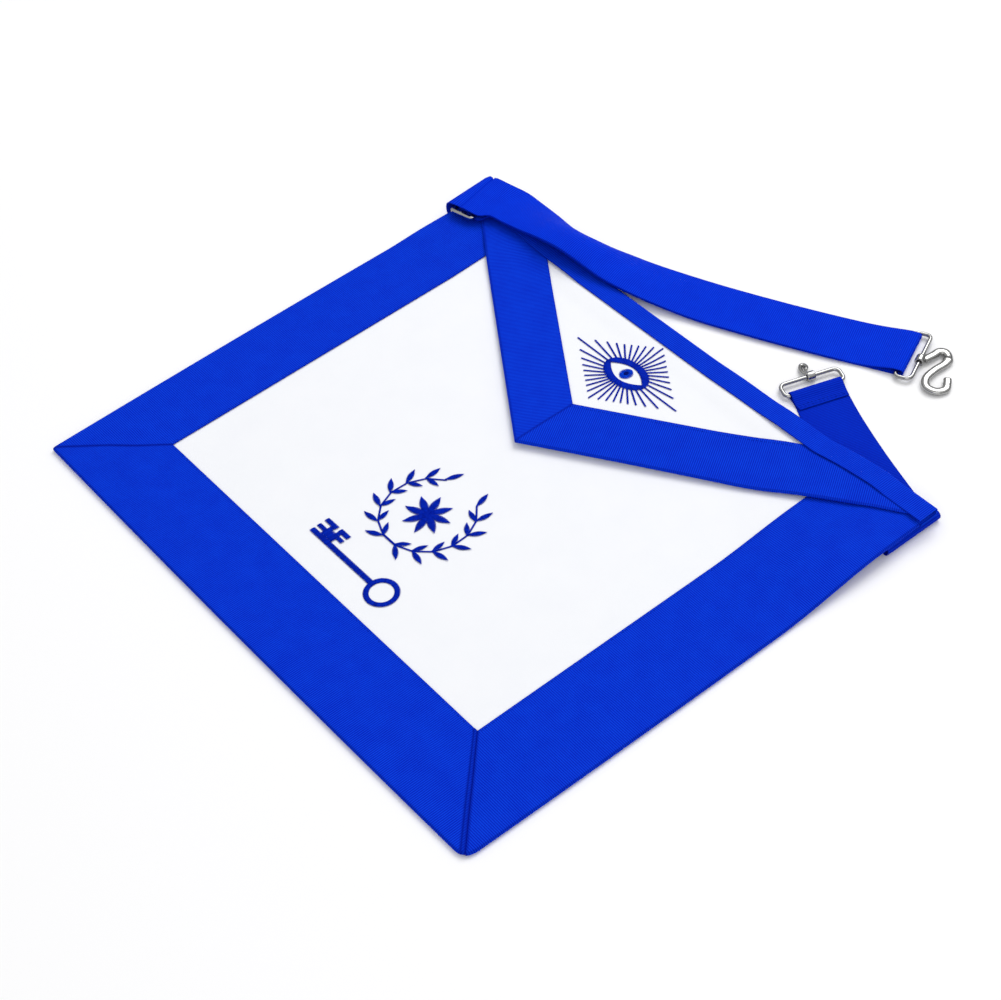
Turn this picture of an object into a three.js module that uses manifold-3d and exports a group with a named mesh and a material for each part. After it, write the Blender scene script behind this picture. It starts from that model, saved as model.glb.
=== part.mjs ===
// Lodge apron lying flat on its back: a white body with a folded-down flap, broad blue ribbon borders,
// a long adjustable belt with a snake hook and a short strap with an eye hook.
// Millimetres, +Z up. The origin is the middle of the body's underside, +X runs along the waist and
// +Y points to the waist edge.
import * as THREE from 'three';
import { mergeVertices } from 'three/addons/utils/BufferGeometryUtils.js';
import Module from 'manifold-3d';

const wasm = await Module();
wasm.setup();

// Body, cut to 16 by 13.8 inches
const bodyWidth = 407.5;
const bodyHeight = 350;
const bodyFlare = 4.2;        // how much wider the waist edge is than the middle
const sideBow = 1.2;          // how far the sides bulge
const cornerRound = 5;

// Cloth thicknesses and the air between two layers
const ribbonWall = 1.0;
const panelWall = 1.2;
const layerGap = 0.25;

// Body borders, with the strip that is turned to the back
const borderLeft = 51;
const borderBottom = 57.5;
const borderRight = 61.5;
const backTurn = 18;
const mitreGap = 0.3;

// Flap
const flapDrop = 139.5;
const flapAside = -8;
const flapLeftShoulder = 1.5;
const flapRightShoulder = 5.5;
const flapBorderLeft = 38.8;
const flapBorderRight = 41.5;
const flapSpring = 2.4;       // how high the free edge of the flap stands off

// Waist band
const bandFront = 15.5;
const bandBack = 14;

// Straps
const strapWidth = 38.1;
const beltEndWide = 36.9;     // a strap is gathered where it is looped round a wire
const shortEndWide = 34.8;
const beltStart = new THREE.Vector2(5.45 - bodyWidth / 2, bodyHeight / 2 - 9.6);
const beltReach = 312.5;
const beltHeading = 18.8;
const beltSewnLeg = 18;
const shortFoldFar = new THREE.Vector2(bodyWidth / 2 + 2.45, bodyHeight / 2 + 3);
const shortFoldNear = new THREE.Vector2(bodyWidth / 2 + 1.65, bodyHeight / 2 - 40);
const shortLoopMiddle = new THREE.Vector2(bodyWidth / 2 - 124.65, bodyHeight / 2 + 28.4);
const shortHeading = 160.6;
const shortBow = 2.8;         // how far the short strap's run bends aside
const shortSewnLeg = 24;
const cornerRise = 7.4;       // how high its loose fold holds the waist corner
const hemLeg = 12.5;

// Metal: wire frames, hook, eye and slider
const wireThick = 2.7;
const wireGap = 0.3;
const hookInside = 39.8;
const eyeInside = 37.2;
const hookSlide = -0.8;       // how far the belt's frame has slid along its loop
const frameDepth = 10.4;
const frameCorner = 3;
const collarWall = 1.5;
const collarLength = 6;
const hookSetback = 2.2;      // spare room of the belt's loop beyond the frame's bar
const hookHeading = 24.2;
const hookWide = 4.6;
const hookThick = 2.6;
const hookLength = 24.6;
const hookAside = -2.2;
const eyeWide = 2.4;
const eyeThick = 2.2;
const eyeLength = 13.7;
const eyeAside = 1.6;
const sliderLength = 19;
const sliderWidth = 44;
const sliderStrip = 3;
const sliderThick = 1.6;
const sliderHeading = 13;
const sliderPlace = new THREE.Vector2(2.8, 0);

// Embroidery, raised pads of thread
const threadHigh = 0.6;
const eyeSpot = new THREE.Vector2(-7.4, bodyHeight / 2 - 48.8);
const eyeLong = 17.6;         // half the length of the eye's thick outline
const eyeHigh = 11.6;
const irisSize = 8.4;
const rayCount = 36;
const rayReachX = 45.5;
const rayReachY = 31.5;
const rayWide = 1.2;
const keySpot = new THREE.Vector2(1.1, 79.4 - bodyHeight / 2);
const keyLength = 78.2;
const keyStem = 4.4;
const keyBow = 22.2;
const wreathSpot = new THREE.Vector2(0, -38.5);
const wreathSize = 76;

const royalBlue = { color: 0x0733cf, roughness: 0.75, metalness: 0 };
const threadBlue = { color: 0x021fae, roughness: 0.6, metalness: 0 };
const bodyWhite = { color: 0xf7f8fb, roughness: 0.7, metalness: 0 };
const nickel = { color: 0xc4c6c8, roughness: 0.28, metalness: 1 };

const apron = new THREE.Group();

function addPiece(name, solid, look) {
  const { vertProperties, triVerts } = solid.getMesh();
  const geometry = new THREE.BufferGeometry();
  geometry.setAttribute('position', new THREE.BufferAttribute(vertProperties, 3));
  geometry.setIndex(new THREE.BufferAttribute(triVerts, 1));
  geometry.computeVertexNormals();
  const mesh = new THREE.Mesh(geometry, new THREE.MeshStandardMaterial(look));
  mesh.name = name;
  apron.add(mesh);
}

function solidOf(geometry) {
  const bare = geometry.clone();
  bare.deleteAttribute('normal');
  bare.deleteAttribute('uv');
  const merged = mergeVertices(bare, 1e-4);
  return new wasm.Manifold(new wasm.Mesh({
    numProp: 3,
    vertProperties: new Float32Array(merged.attributes.position.array),
    triVerts: new Uint32Array(merged.index.array),
  }));
}

// Upright prism over an outline, far taller than the apron is thick
function prism(outline, holes = []) {
  const shape = new THREE.Shape(outline);
  holes.forEach((hole) => shape.holes.push(new THREE.Path(hole)));
  const geometry = new THREE.ExtrudeGeometry(shape, { depth: 80, bevelEnabled: false });
  geometry.translate(0, 0, -30);
  return solidOf(geometry);
}

const middlePoint = new THREE.Vector2();
const turned = (point, degrees) => (
  point.clone().rotateAround(middlePoint, THREE.MathUtils.degToRad(degrees)));
const ramp = (value, from, to) => THREE.MathUtils.clamp((value - from) / (to - from), 0, 1);

function extended(from, to, reach) {
  return to.clone().sub(from).setLength(reach).add(from);
}

// Corners of the body moved in by an inset, from the waist's left corner round by the foot
const sideSlope = bodyFlare / bodyHeight;
const sideAt = (y) => bodyWidth / 2 + sideSlope * y;

function bodyCorners(inset) {
  const top = bodyHeight / 2 - inset;
  return [[-1, top], [-1, -top], [1, -top], [1, top]].map(([side, y]) => (
    new THREE.Vector2(side * (sideAt(y) - inset), y)));
}

// Body outline: bowed sides and foot, rounded foot corners and a straight waist edge
function bodyOutline(inset) {
  const [waistLeft, footLeft, footRight, waistRight] = bodyCorners(inset);
  const path = new THREE.Path();
  const rounding = Math.max(cornerRound - inset, 0.5);
  const bow = (from, to) => {
    const along = to.clone().sub(from).normalize();
    const outward = new THREE.Vector2(along.y, -along.x);
    const bulge = from.clone().add(to).multiplyScalar(0.5).addScaledVector(outward, 2 * sideBow);
    path.quadraticCurveTo(bulge.x, bulge.y, to.x, to.y);
  };
  const near = (corner, other) => extended(corner, other, rounding);
  path.moveTo(waistLeft.x, waistLeft.y);
  bow(waistLeft, near(footLeft, waistLeft));
  path.quadraticCurveTo(footLeft.x, footLeft.y, footLeft.x + rounding, footLeft.y);
  bow(near(footLeft, footRight), near(footRight, footLeft));
  const rise = near(footRight, waistRight);
  path.quadraticCurveTo(footRight.x, footRight.y, rise.x, rise.y);
  bow(rise, waistRight);
  return path.getPoints(4);
}

// The straps' sewn ends lie beneath the two waist corners and lift them
const beltFrame = turned(new THREE.Vector2(1, 0), beltHeading);
const sliderAlong = turned(new THREE.Vector2(1, 0), sliderHeading);
const sliderAcross = turned(new THREE.Vector2(0, 1), sliderHeading);
const shortAlong = turned(new THREE.Vector2(1, 0), shortHeading);
const shortAcross = turned(new THREE.Vector2(0, -1), shortHeading);
const layerRise = ribbonWall + layerGap;

function spot(origin, along, across, u, v) {
  return origin.clone().addScaledVector(along, u).addScaledVector(across, v);
}

const beltUnder = [[-8, -1], [beltSewnLeg, -1], [beltSewnLeg, 1], [-8, 1]].map(([u, side]) => (
  spot(beltStart, sliderAlong, sliderAcross, u, side * strapWidth / 2)));
const shortLoopNear = spot(shortLoopMiddle, shortAlong, shortAcross, 0, -strapWidth / 2);
const shortLoopFar = spot(shortLoopMiddle, shortAlong, shortAcross, 0, strapWidth / 2);
const shortUnder = [shortFoldNear, shortFoldFar, shortLoopFar, shortLoopNear];
const foldAcross = shortFoldFar.clone().sub(shortFoldNear).normalize();
// Heading of the sewn leg towards the fold, the mirror image of the free leg's
const sewnHeading = foldAcross.clone().multiplyScalar(2 * shortAlong.dot(foldAcross)).sub(shortAlong);
const shortSewn = [
  shortFoldNear,
  shortFoldFar,
  shortFoldFar.clone().addScaledVector(sewnHeading, -shortSewnLeg),
  shortFoldNear.clone().addScaledVector(sewnHeading, -shortSewnLeg),
];

function gapTo(outline, x, y) {
  const point = new THREE.Vector3(x, y, 0);
  const nearest = new THREE.Vector3();
  const edge = new THREE.Line3();
  let inside = true;
  let least = Infinity;
  outline.forEach((corner, index) => {
    const next = outline[(index + 1) % outline.length];
    edge.start.set(corner.x, corner.y, 0);
    edge.end.set(next.x, next.y, 0);
    edge.closestPointToPoint(point, true, nearest);
    least = Math.min(least, nearest.distanceTo(point));
    const turn = (next.x - corner.x) * (y - corner.y) - (next.y - corner.y) * (x - corner.x);
    inside = inside && turn >= 0;
  });
  return inside ? 0 : least;
}

const counterclockwise = (outline) => (
  THREE.ShapeUtils.isClockWise(outline) ? outline.slice().reverse() : outline);
const supports = [
  { outline: counterclockwise(beltUnder), rise: layerRise, margin: 21, slope: 34 },
  { outline: counterclockwise(shortUnder), rise: layerRise, margin: 21, slope: 34 },
  { outline: counterclockwise(shortSewn), rise: cornerRise, margin: 14, slope: 26 },
];

// Height of the underside of everything that lies on the straps' ends
function underlay(x, y) {
  return Math.max(0, ...supports.map(({ outline, rise, margin, slope }) => (
    rise * (1 - ramp(gapTo(outline, x, y), margin, margin + slope)))));
}

// Lines of the grid that all flat layers share, so that they stay parallel
const halfWide = bodyWidth / 2;
const halfHigh = bodyHeight / 2;
const rimIn = backTurn + 6;
const rimOut = backTurn + 20;
const bandIn = bandBack + 4;
const bandOut = bandBack + 18;
const innerLeft = -halfWide + borderLeft;
const innerRight = halfWide - borderRight;
const innerBottom = -halfHigh + borderBottom;
const stepRamp = 24;
const gridX = [
  -halfWide - 12, -halfWide + 8, -halfWide + rimIn, -halfWide + rimOut, innerLeft, innerLeft + stepRamp,
  -108, -86, -58, -30, flapAside, 14, 42, 70, 92, innerRight - stepRamp, innerRight,
  halfWide - rimOut, halfWide - rimIn, halfWide - 10, halfWide + 12,
];
const gridY = [
  -halfHigh - 8, -halfHigh + rimIn, -halfHigh + rimOut, innerBottom, -20,
  halfHigh - flapDrop - 22, halfHigh - flapDrop, 56, 76, 94, 112, 128,
  halfHigh - bandOut, halfHigh - bandIn, halfHigh + 8,
];

// Closed slab over the whole grid between two height functions
function slab(bottom, top) {
  const countX = gridX.length - 1;
  const countY = gridY.length - 1;
  const geometry = new THREE.BoxGeometry(1, 1, 1, countX, countY, 1);
  const { position } = geometry.attributes;
  for (let i = 0; i < position.count; i += 1) {
    const x = gridX[Math.round((position.getX(i) + 0.5) * countX)];
    const y = gridY[Math.round((position.getY(i) + 0.5) * countY)];
    position.setXYZ(i, x, y, (position.getZ(i) > 0 ? top : bottom)(x, y));
  }
  // The lower face gets the same diagonals as the upper one
  const underFace = geometry.groups[5];
  const index = geometry.index.array;
  for (let start = underFace.start; start < underFace.start + underFace.count; start += 6) {
    const [a, b, d, , c] = index.slice(start, start + 6);
    index.set([a, b, c, a, c, d], start);
  }
  return solidOf(geometry);
}

const above = (surface, rise) => (x, y) => surface(x, y) + rise;
const floorDeep = () => -10;

// Underside of the body panel: on the floor inside, over the turned ribbon at the rim
function panelUnder(x, y) {
  const side = ramp(Math.abs(x), halfWide - rimOut, halfWide - rimIn);
  const foot = ramp(-y, halfHigh - rimOut, halfHigh - rimIn);
  const waist = ramp(y, halfHigh - bandOut, halfHigh - bandIn);
  return underlay(x, y) + layerRise * Math.max(side, foot, waist);
}
const panelTop = above(panelUnder, panelWall);
const borderUnder = above(panelTop, layerGap);
const borderTop = above(borderUnder, ribbonWall);

// Flap: over the field and up over the side borders, its free edge springing up a little
const flapTip = new THREE.Vector2(flapAside, halfHigh - flapDrop);
const flapLeft = new THREE.Vector2(-sideAt(halfHigh), halfHigh - flapLeftShoulder);
const flapRight = new THREE.Vector2(sideAt(halfHigh), halfHigh - flapRightShoulder);

function edgeGap(from, to, x, y) {
  return ((to.x - from.x) * (y - from.y) - (to.y - from.y) * (x - from.x)) / from.distanceTo(to);
}
const leftGap = (x, y) => edgeGap(flapLeft, flapTip, x, y);
const rightGap = (x, y) => edgeGap(flapTip, flapRight, x, y);

function flapUnder(x, y) {
  const onRight = ramp(x, innerRight - stepRamp, innerRight);
  const onLeft = ramp(-x, -innerLeft - stepRamp, -innerLeft);
  const fromEdge = Math.min(leftGap(x, y), rightGap(x, y));
  const spring = flapSpring * (1 - ramp(fromEdge, 0, 60)) * (1 - ramp(y, 60, halfHigh - bandIn));
  return panelTop(x, y) + layerGap + Math.max(onLeft, onRight) * layerRise + spring;
}
const flapPanelTop = above(flapUnder, panelWall);

// The flap's cloth stops short of the corners, where its ribbons sink by as much
const panelReach = halfWide - rimOut;
const cornerDrop = (x) => (panelWall + layerGap) * ramp(Math.abs(x), panelReach, halfWide - rimIn);
const flapBorderUnder = (x, y) => flapPanelTop(x, y) + layerGap - cornerDrop(x);
const flapBorderTop = above(flapBorderUnder, ribbonWall);

// Waist band: over the flap, stepping up onto its ribbons
function bandUnder(x, y) {
  const onRibbon = Math.max(ramp(x, 70, 92), ramp(-x, 86, 108));
  return flapPanelTop(x, y) + layerGap + onRibbon * layerRise - cornerDrop(x);
}
const bandTop = above(bandUnder, ribbonWall);

const wall = ribbonWall + layerGap;
const bodyWhole = bodyOutline(0);
const bodyInside = bodyOutline(wall);

// Mitred quarter of the body for one border strip
const farOut = 260;
const footLeft = new THREE.Vector2(-sideAt(-halfHigh), -halfHigh);
const footRight = new THREE.Vector2(sideAt(-halfHigh), -halfHigh);
const fieldLeft = new THREE.Vector2(innerLeft, innerBottom);
const fieldRight = new THREE.Vector2(innerRight, innerBottom);
const innerFlare = sideSlope * bodyHeight;

// Moves a mitre line sideways by half of the gap between two strips
function shifted(line, distance) {
  const along = line[1].clone().sub(line[0]).normalize();
  const side = new THREE.Vector2(-along.y, along.x).multiplyScalar(distance);
  return line.map((point) => point.clone().add(side));
}
const mitreLeft = [fieldLeft, extended(fieldLeft, footLeft, 120)];
const mitreRight = [fieldRight, extended(fieldRight, footRight, 120)];
const borderHead = halfHigh - wall;

const borderRegions = {
  border_left: [
    ...shifted(mitreLeft, -mitreGap / 2),
    new THREE.Vector2(-farOut, -120), new THREE.Vector2(-farOut, borderHead),
    new THREE.Vector2(innerLeft - innerFlare / 2, borderHead),
  ],
  border_bottom: [...shifted(mitreLeft, mitreGap / 2), ...shifted(mitreRight, -mitreGap / 2).reverse()],
  border_right: [
    ...shifted(mitreRight, mitreGap / 2),
    new THREE.Vector2(farOut, -120), new THREE.Vector2(farOut, borderHead),
    new THREE.Vector2(innerRight + innerFlare / 2, borderHead),
  ],
};

// Ribbon folded round the body's edge: front leg, turned edge and a short leg at the back
function borderStrip(region) {
  const strip = prism(region).intersect(prism(bodyWhole)).intersect(slab(underlay, borderTop));
  const pocket = prism(bodyOutline(ribbonWall)).intersect(slab(above(underlay, ribbonWall), borderUnder));
  const inward = prism(bodyOutline(backTurn)).intersect(slab(floorDeep, borderUnder));
  const waistRoom = prism([
    new THREE.Vector2(-farOut, halfHigh - bandBack - 1), new THREE.Vector2(farOut, halfHigh - bandBack - 1),
    new THREE.Vector2(farOut, farOut), new THREE.Vector2(-farOut, farOut),
  ]).intersect(slab(floorDeep, borderUnder));
  return strip.subtract(pocket).subtract(inward).subtract(waistRoom);
}

function addBody() {
  addPiece('body_panel', prism(bodyInside).intersect(slab(panelUnder, panelTop)), bodyWhite);
  Object.entries(borderRegions).forEach(([name, region]) => addPiece(name, borderStrip(region), royalBlue));
}

// Flap outlines, moved in from the free edges by an inset
function flapOutline(inset, head) {
  const left = shifted([flapLeft, flapTip], inset);
  const right = shifted([flapTip, flapRight], inset);
  return clippedWedge(left, right, head);
}

function crossing(first, second) {
  const [p, q] = first;
  const [r, s] = second;
  const d = q.clone().sub(p);
  const e = s.clone().sub(r);
  const t = ((r.x - p.x) * e.y - (r.y - p.y) * e.x) / (d.x * e.y - d.y * e.x);
  return p.clone().addScaledVector(d, t);
}

function clippedWedge(left, right, head) {
  const level = [new THREE.Vector2(-farOut, head), new THREE.Vector2(farOut, head)];
  return [crossing(left, right), crossing(right, level), crossing(left, level)];
}

const flapHead = halfHigh - wall;
const flapInnerTip = crossing(
  shifted([flapLeft, flapTip], flapBorderLeft), shifted([flapTip, flapRight], flapBorderRight));

function flapStrip(sideSign) {
  const left = shifted([flapLeft, flapTip], sideSign < 0 ? flapBorderLeft : 0);
  const right = shifted([flapTip, flapRight], sideSign < 0 ? 0 : flapBorderRight);
  const mitre = shifted([flapTip, extended(flapTip, flapInnerTip, 300)], -sideSign * mitreGap / 2);
  const side = sideSign * farOut;
  const half = [...mitre, new THREE.Vector2(side, 300), new THREE.Vector2(side, -60)];
  const whole = prism(flapOutline(0, flapHead)).intersect(prism(half)).intersect(prism(bodyInside));
  const inner = prism(sideSign < 0 ? clippedWedge(left, shifted([flapTip, flapRight], -200), flapHead + 60)
    : clippedWedge(shifted([flapLeft, flapTip], -200), right, flapHead + 60));
  const strip = whole.subtract(inner).intersect(slab(flapUnder, flapBorderTop));
  const pocket = prism(flapOutline(ribbonWall, flapHead + 20)).intersect(slab(floorDeep, flapBorderUnder));
  return strip.subtract(pocket);
}

function addFlap() {
  const panel = prism(flapOutline(wall, flapHead)).intersect(prism([
    new THREE.Vector2(-panelReach, -halfHigh), new THREE.Vector2(panelReach, -halfHigh),
    new THREE.Vector2(panelReach, halfHigh), new THREE.Vector2(-panelReach, halfHigh),
  ]));
  addPiece('flap_panel', panel.intersect(slab(flapUnder, flapPanelTop)), bodyWhite);
  addPiece('flap_border_left', flapStrip(-1), royalBlue);
  addPiece('flap_border_right', flapStrip(1), royalBlue);
}

// Ribbon folded over the waist edge, round the body and the flap
function addWaistBand() {
  const strip = (depth, head) => prism([
    new THREE.Vector2(-farOut, halfHigh - depth), new THREE.Vector2(farOut, halfHigh - depth),
    new THREE.Vector2(farOut, head), new THREE.Vector2(-farOut, head),
  ]);
  const front = strip(bandFront, farOut).intersect(slab(bandUnder, bandTop));
  const edge = strip(ribbonWall, farOut).intersect(slab(underlay, bandTop));
  const back = strip(bandBack, farOut).intersect(slab(underlay, above(underlay, ribbonWall)));
  addPiece('waist_band', front.add(edge).add(back).intersect(prism(bodyWhole)), royalBlue);
}

// Strap of ribbon: stations hold the middle, the direction across and the upward normal of the ribbon
const acrossCount = 4;
function strap(stations) {
  const geometry = new THREE.BoxGeometry(1, 1, 1, stations.length - 1, acrossCount, 1);
  const { position } = geometry.attributes;
  for (let i = 0; i < position.count; i += 1) {
    const station = stations[Math.round((position.getX(i) + 0.5) * (stations.length - 1))];
    const side = position.getY(i);
    const rise = (station.crown ?? 0) * (1 - 4 * side * side) + position.getZ(i) * ribbonWall;
    const point = station.middle.clone()
      .addScaledVector(station.across, side * (station.wide ?? strapWidth))
      .addScaledVector(station.up, rise);
    position.setXYZ(i, point.x, point.y, point.z);
  }
  return solidOf(geometry);
}

// Half turn of a strap round a line, from above to below
function halfTurn(middle, across, outward, radius, wide, count = 6) {
  return Array.from({ length: count + 1 }, (unused, step) => {
    const angle = Math.PI / 2 - (Math.PI * step) / count;
    const up = new THREE.Vector3(0, 0, Math.sin(angle)).addScaledVector(outward, Math.cos(angle));
    return { middle: middle.clone().addScaledVector(up, radius), across, up, wide };
  });
}

// Belt between slider and hook, from above. Lengths are shares: along of the reach, the rest of the
// strap's width; tilt is in degrees with the near edge up
const beltTable = [
  { along: 0.073, aside: 0.04, lift: 0.270, tilt: 7.5, crown: 0.02 },
  { along: 0.112, aside: -0.03, lift: 0.252, tilt: 11.0, crown: 0.05 },
  { along: 0.160, aside: -0.12, lift: 0.240, tilt: 16.0, crown: 0.10 },
  { along: 0.208, aside: -0.22, lift: 0.240, tilt: 22.0, crown: 0.15 },
  { along: 0.256, aside: -0.31, lift: 0.245, tilt: 24.0, crown: 0.17 },
  { along: 0.295, aside: -0.35, lift: 0.215, tilt: 20.0, crown: 0.17 },
  { along: 0.333, aside: -0.38, lift: 0.172, tilt: 15.0, crown: 0.15 },
  { along: 0.371, aside: -0.41, lift: 0.140, tilt: 11.0, crown: 0.11 },
  { along: 0.416, aside: -0.44, lift: 0.126, tilt: 9.0, crown: 0.07 },
  { along: 0.480, aside: -0.45, lift: 0.103, tilt: 5.8, crown: 0.03 },
  { along: 0.576, aside: -0.42, lift: 0.070, tilt: 2.1, crown: 0.02 },
  { along: 0.672, aside: -0.36, lift: 0.066, tilt: 1.6, crown: 0.01 },
  { along: 0.768, aside: -0.28, lift: 0.062, tilt: 1.2, crown: 0.01 },
  { along: 0.864, aside: -0.18, lift: 0.057, tilt: 0.7, crown: 0.00 },
  { along: 0.930, aside: -0.09, lift: 0.051, tilt: 0.0, crown: 0.00 },
];

const lift3 = (point, z) => new THREE.Vector3(point.x, point.y, z);
const beltAcrossLine = new THREE.Vector2(-beltFrame.y, beltFrame.x);
const hookAlong = turned(new THREE.Vector2(1, 0), hookHeading);
const hookAcross = turned(new THREE.Vector2(0, 1), hookHeading);
const hookBar = spot(beltStart, beltFrame, beltAcrossLine, beltReach, -0.02 * strapWidth);
const loopRadius = wireThick / 2 + wireGap + ribbonWall / 2;
const barHigh = ribbonWall / 2 + loopRadius;

function beltStations() {
  const middles = beltTable.map(({ along, aside }) => (
    spot(beltStart, beltFrame, beltAcrossLine, along * beltReach, aside * strapWidth)));
  return beltTable.map(({ lift, tilt, crown }, index) => {
    const before = middles[Math.max(index - 1, 0)];
    const after = index + 1 < middles.length ? middles[index + 1] : hookBar;
    const heading = after.clone().sub(before).normalize();
    const lean = THREE.MathUtils.degToRad(tilt);
    const across = new THREE.Vector3(-heading.y, heading.x, 0).multiplyScalar(Math.cos(lean));
    across.z = -Math.sin(lean);
    const up = new THREE.Vector3().crossVectors(lift3(heading, 0), across).normalize();
    const wide = strapWidth * (1 - (8 / 3) * crown * crown);
    return { middle: lift3(middles[index], lift * strapWidth), across, up, wide, crown: crown * strapWidth };
  });
}

// Heights of the pile at the slider: strap, body, flap and band lie beneath it
const pileTop = bandTop(beltStart.x, halfHigh - bandFront / 2);
const sliderLow = pileTop + layerGap + layerRise;
const sliderTop = sliderLow + sliderThick;
const overRun = sliderTop + layerGap + layerRise + ribbonWall / 2;
const upward = new THREE.Vector3(0, 0, 1);
const downward = new THREE.Vector3(0, 0, -1);

// Section of the ribbon where it rounds the outer end of the slider: out from the bar, angle of its normal
const foldTable = [
  { out: 1.5, angle: -75 },
  { out: 2.8, angle: -35 },
  { out: 3.0, angle: 5 },
  { out: 2.1, angle: 40 },
  { out: -0.1, angle: 76 },
];
const foldPlace = -8.7;
const foldSkew = -9;
const foldWide = 36;
const foldAside = -1;

function onSlider(u, z, up, wide = strapWidth) {
  return {
    middle: lift3(spot(beltStart, sliderAlong, sliderAcross, u, 0), z),
    across: lift3(sliderAcross, 0),
    up,
    wide,
  };
}

function foldStations() {
  const skew = THREE.MathUtils.degToRad(foldSkew);
  const across = lift3(sliderAcross, 0).applyAxisAngle(upward, skew);
  const outward = lift3(sliderAlong, 0).negate().applyAxisAngle(upward, skew);
  const half = (overRun - ribbonWall / 2) / 2;
  return foldTable.map(({ out, angle }) => {
    const bend = THREE.MathUtils.degToRad(angle);
    const middle = lift3(spot(beltStart, sliderAlong, sliderAcross, foldPlace, foldAside), ribbonWall / 2);
    middle.addScaledVector(outward, out).addScaledVector(upward, half * (1 + Math.sin(bend)));
    const up = outward.clone().multiplyScalar(Math.cos(bend)).addScaledVector(upward, Math.sin(bend));
    return { middle, across, up, wide: foldWide };
  });
}

// The ribbon's end goes round the slider's middle bar, from below to above
function barWrap() {
  const barEdge = sliderPlace.x - sliderStrip / 2 + 0.5;
  const middle = onSlider(barEdge, sliderLow + sliderThick / 2, upward).middle;
  const radius = sliderThick / 2 + layerGap + ribbonWall / 2;
  const turn = halfTurn(middle, lift3(sliderAcross, 0), lift3(sliderAlong, 0).negate(), radius, beltEndWide);
  const end = onSlider(barEdge + sliderStrip + 1.5, middle.z + radius, upward, beltEndWide);
  return [...turn.reverse(), end];
}

function loopLeg(bar, along, across, u, z, up, wide) {
  return { middle: lift3(spot(bar, along, across, u, 0), z), across: lift3(across, 0), up, wide };
}

function addLongStrap() {
  const upper = beltStations();
  const lower = upper.map((station) => ({
    ...station,
    middle: station.middle.clone().addScaledVector(station.up, -layerRise),
    up: station.up.clone().negate(),
    crown: -station.crown,
  })).reverse();
  const turnMiddle = lift3(spot(hookBar, hookAlong, hookAcross, hookSetback, 0), barHigh);
  const stations = [
    onSlider(beltSewnLeg, ribbonWall / 2, downward),
    onSlider(-10, ribbonWall / 2, downward),
    ...foldStations(),
    onSlider(sliderPlace.x - 5, overRun, upward),
    onSlider(sliderPlace.x + sliderLength / 2 + 1, overRun - 0.1, upward),
    ...upper,
    loopLeg(hookBar, hookAlong, hookAcross, -2, barHigh + loopRadius, upward, beltEndWide),
    ...halfTurn(turnMiddle, lift3(hookAcross, 0), lift3(hookAlong, 0), loopRadius, beltEndWide),
    loopLeg(hookBar, hookAlong, hookAcross, -2, barHigh - loopRadius, downward, beltEndWide),
    ...lower,
    onSlider(sliderPlace.x + sliderLength / 2 + 1, sliderLow - layerGap - ribbonWall / 2, downward),
    ...barWrap(),
  ];
  addPiece('long_strap', strap(stations), royalBlue);
}

// Short strap: sewn leg under the corner, fold at the side, floor run, loop round the bar and hem
const shortBar = spot(shortLoopMiddle, shortAlong, shortAcross, -ribbonWall - wireGap - wireThick / 2, 0);

function addShortStrap() {
  const foldMiddle = shortFoldNear.clone().add(shortFoldFar).multiplyScalar(0.5);
  const sideFold = shortFoldNear.distanceTo(shortFoldFar);
  const across = lift3(foldAcross, 0);
  const outward = new THREE.Vector3(foldAcross.y, -foldAcross.x, 0);
  const foldRadius = (cornerRise - layerRise) / 2;
  const turnMiddle = lift3(foldMiddle, ribbonWall / 2 + foldRadius);
  turnMiddle.addScaledVector(outward, -foldRadius - ribbonWall / 2);
  const sewnMiddle = foldMiddle.clone().addScaledVector(sewnHeading, -shortSewnLeg);
  const runAlong = shortBar.clone().sub(foldMiddle).normalize();
  const runAcross = new THREE.Vector2(runAlong.y, -runAlong.x);
  const runLength = shortBar.distanceTo(foldMiddle);
  const run = (share) => {
    const point = foldMiddle.clone().lerp(shortBar, share);
    point.addScaledVector(runAcross, -shortBow * Math.sin(Math.PI * share));
    const turn = Math.atan((shortBow * Math.PI * Math.cos(Math.PI * share)) / runLength);
    const sideways = runAcross.clone().rotateAround(middlePoint, turn);
    const wide = THREE.MathUtils.lerp(strapWidth, shortEndWide, share);
    return { middle: lift3(point, ribbonWall / 2), across: lift3(sideways, 0), up: downward, wide };
  };
  const hemStation = (u, z, up) => loopLeg(shortBar, shortAlong, shortAcross, u, z, up, shortEndWide);
  const barPoint = lift3(shortBar, barHigh);
  const round = halfTurn(barPoint, lift3(shortAcross, 0), lift3(shortAlong, 0), loopRadius, shortEndWide);
  const stations = [
    { middle: lift3(sewnMiddle, ribbonWall / 2 + layerRise), across, up: upward, wide: sideFold },
    ...halfTurn(turnMiddle, across, outward, foldRadius, sideFold),
    run(0.2), run(0.5), run(0.8),
    hemStation(-8, ribbonWall / 2, downward),
    ...round.reverse(),
    hemStation(-2, barHigh + loopRadius - 0.2, upward),
    hemStation(-7, ribbonWall * 1.5 + layerGap, upward),
    hemStation(-hemLeg, ribbonWall * 1.5 + layerGap, upward),
  ];
  addPiece('short_strap', strap(stations), royalBlue);
}

// Moves a geometry from its own place to a spot on the apron, pitched about its own Y and turned about Z
function settle(geometry, point, heading, pitch = 0) {
  const place = new THREE.Matrix4().makeTranslation(point.x, point.y, point.z);
  const turn = new THREE.Matrix4().makeRotationZ(THREE.MathUtils.degToRad(heading));
  const lean = new THREE.Matrix4().makeRotationY(THREE.MathUtils.degToRad(pitch));
  return geometry.applyMatrix4(place.multiply(turn).multiply(lean));
}

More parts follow.
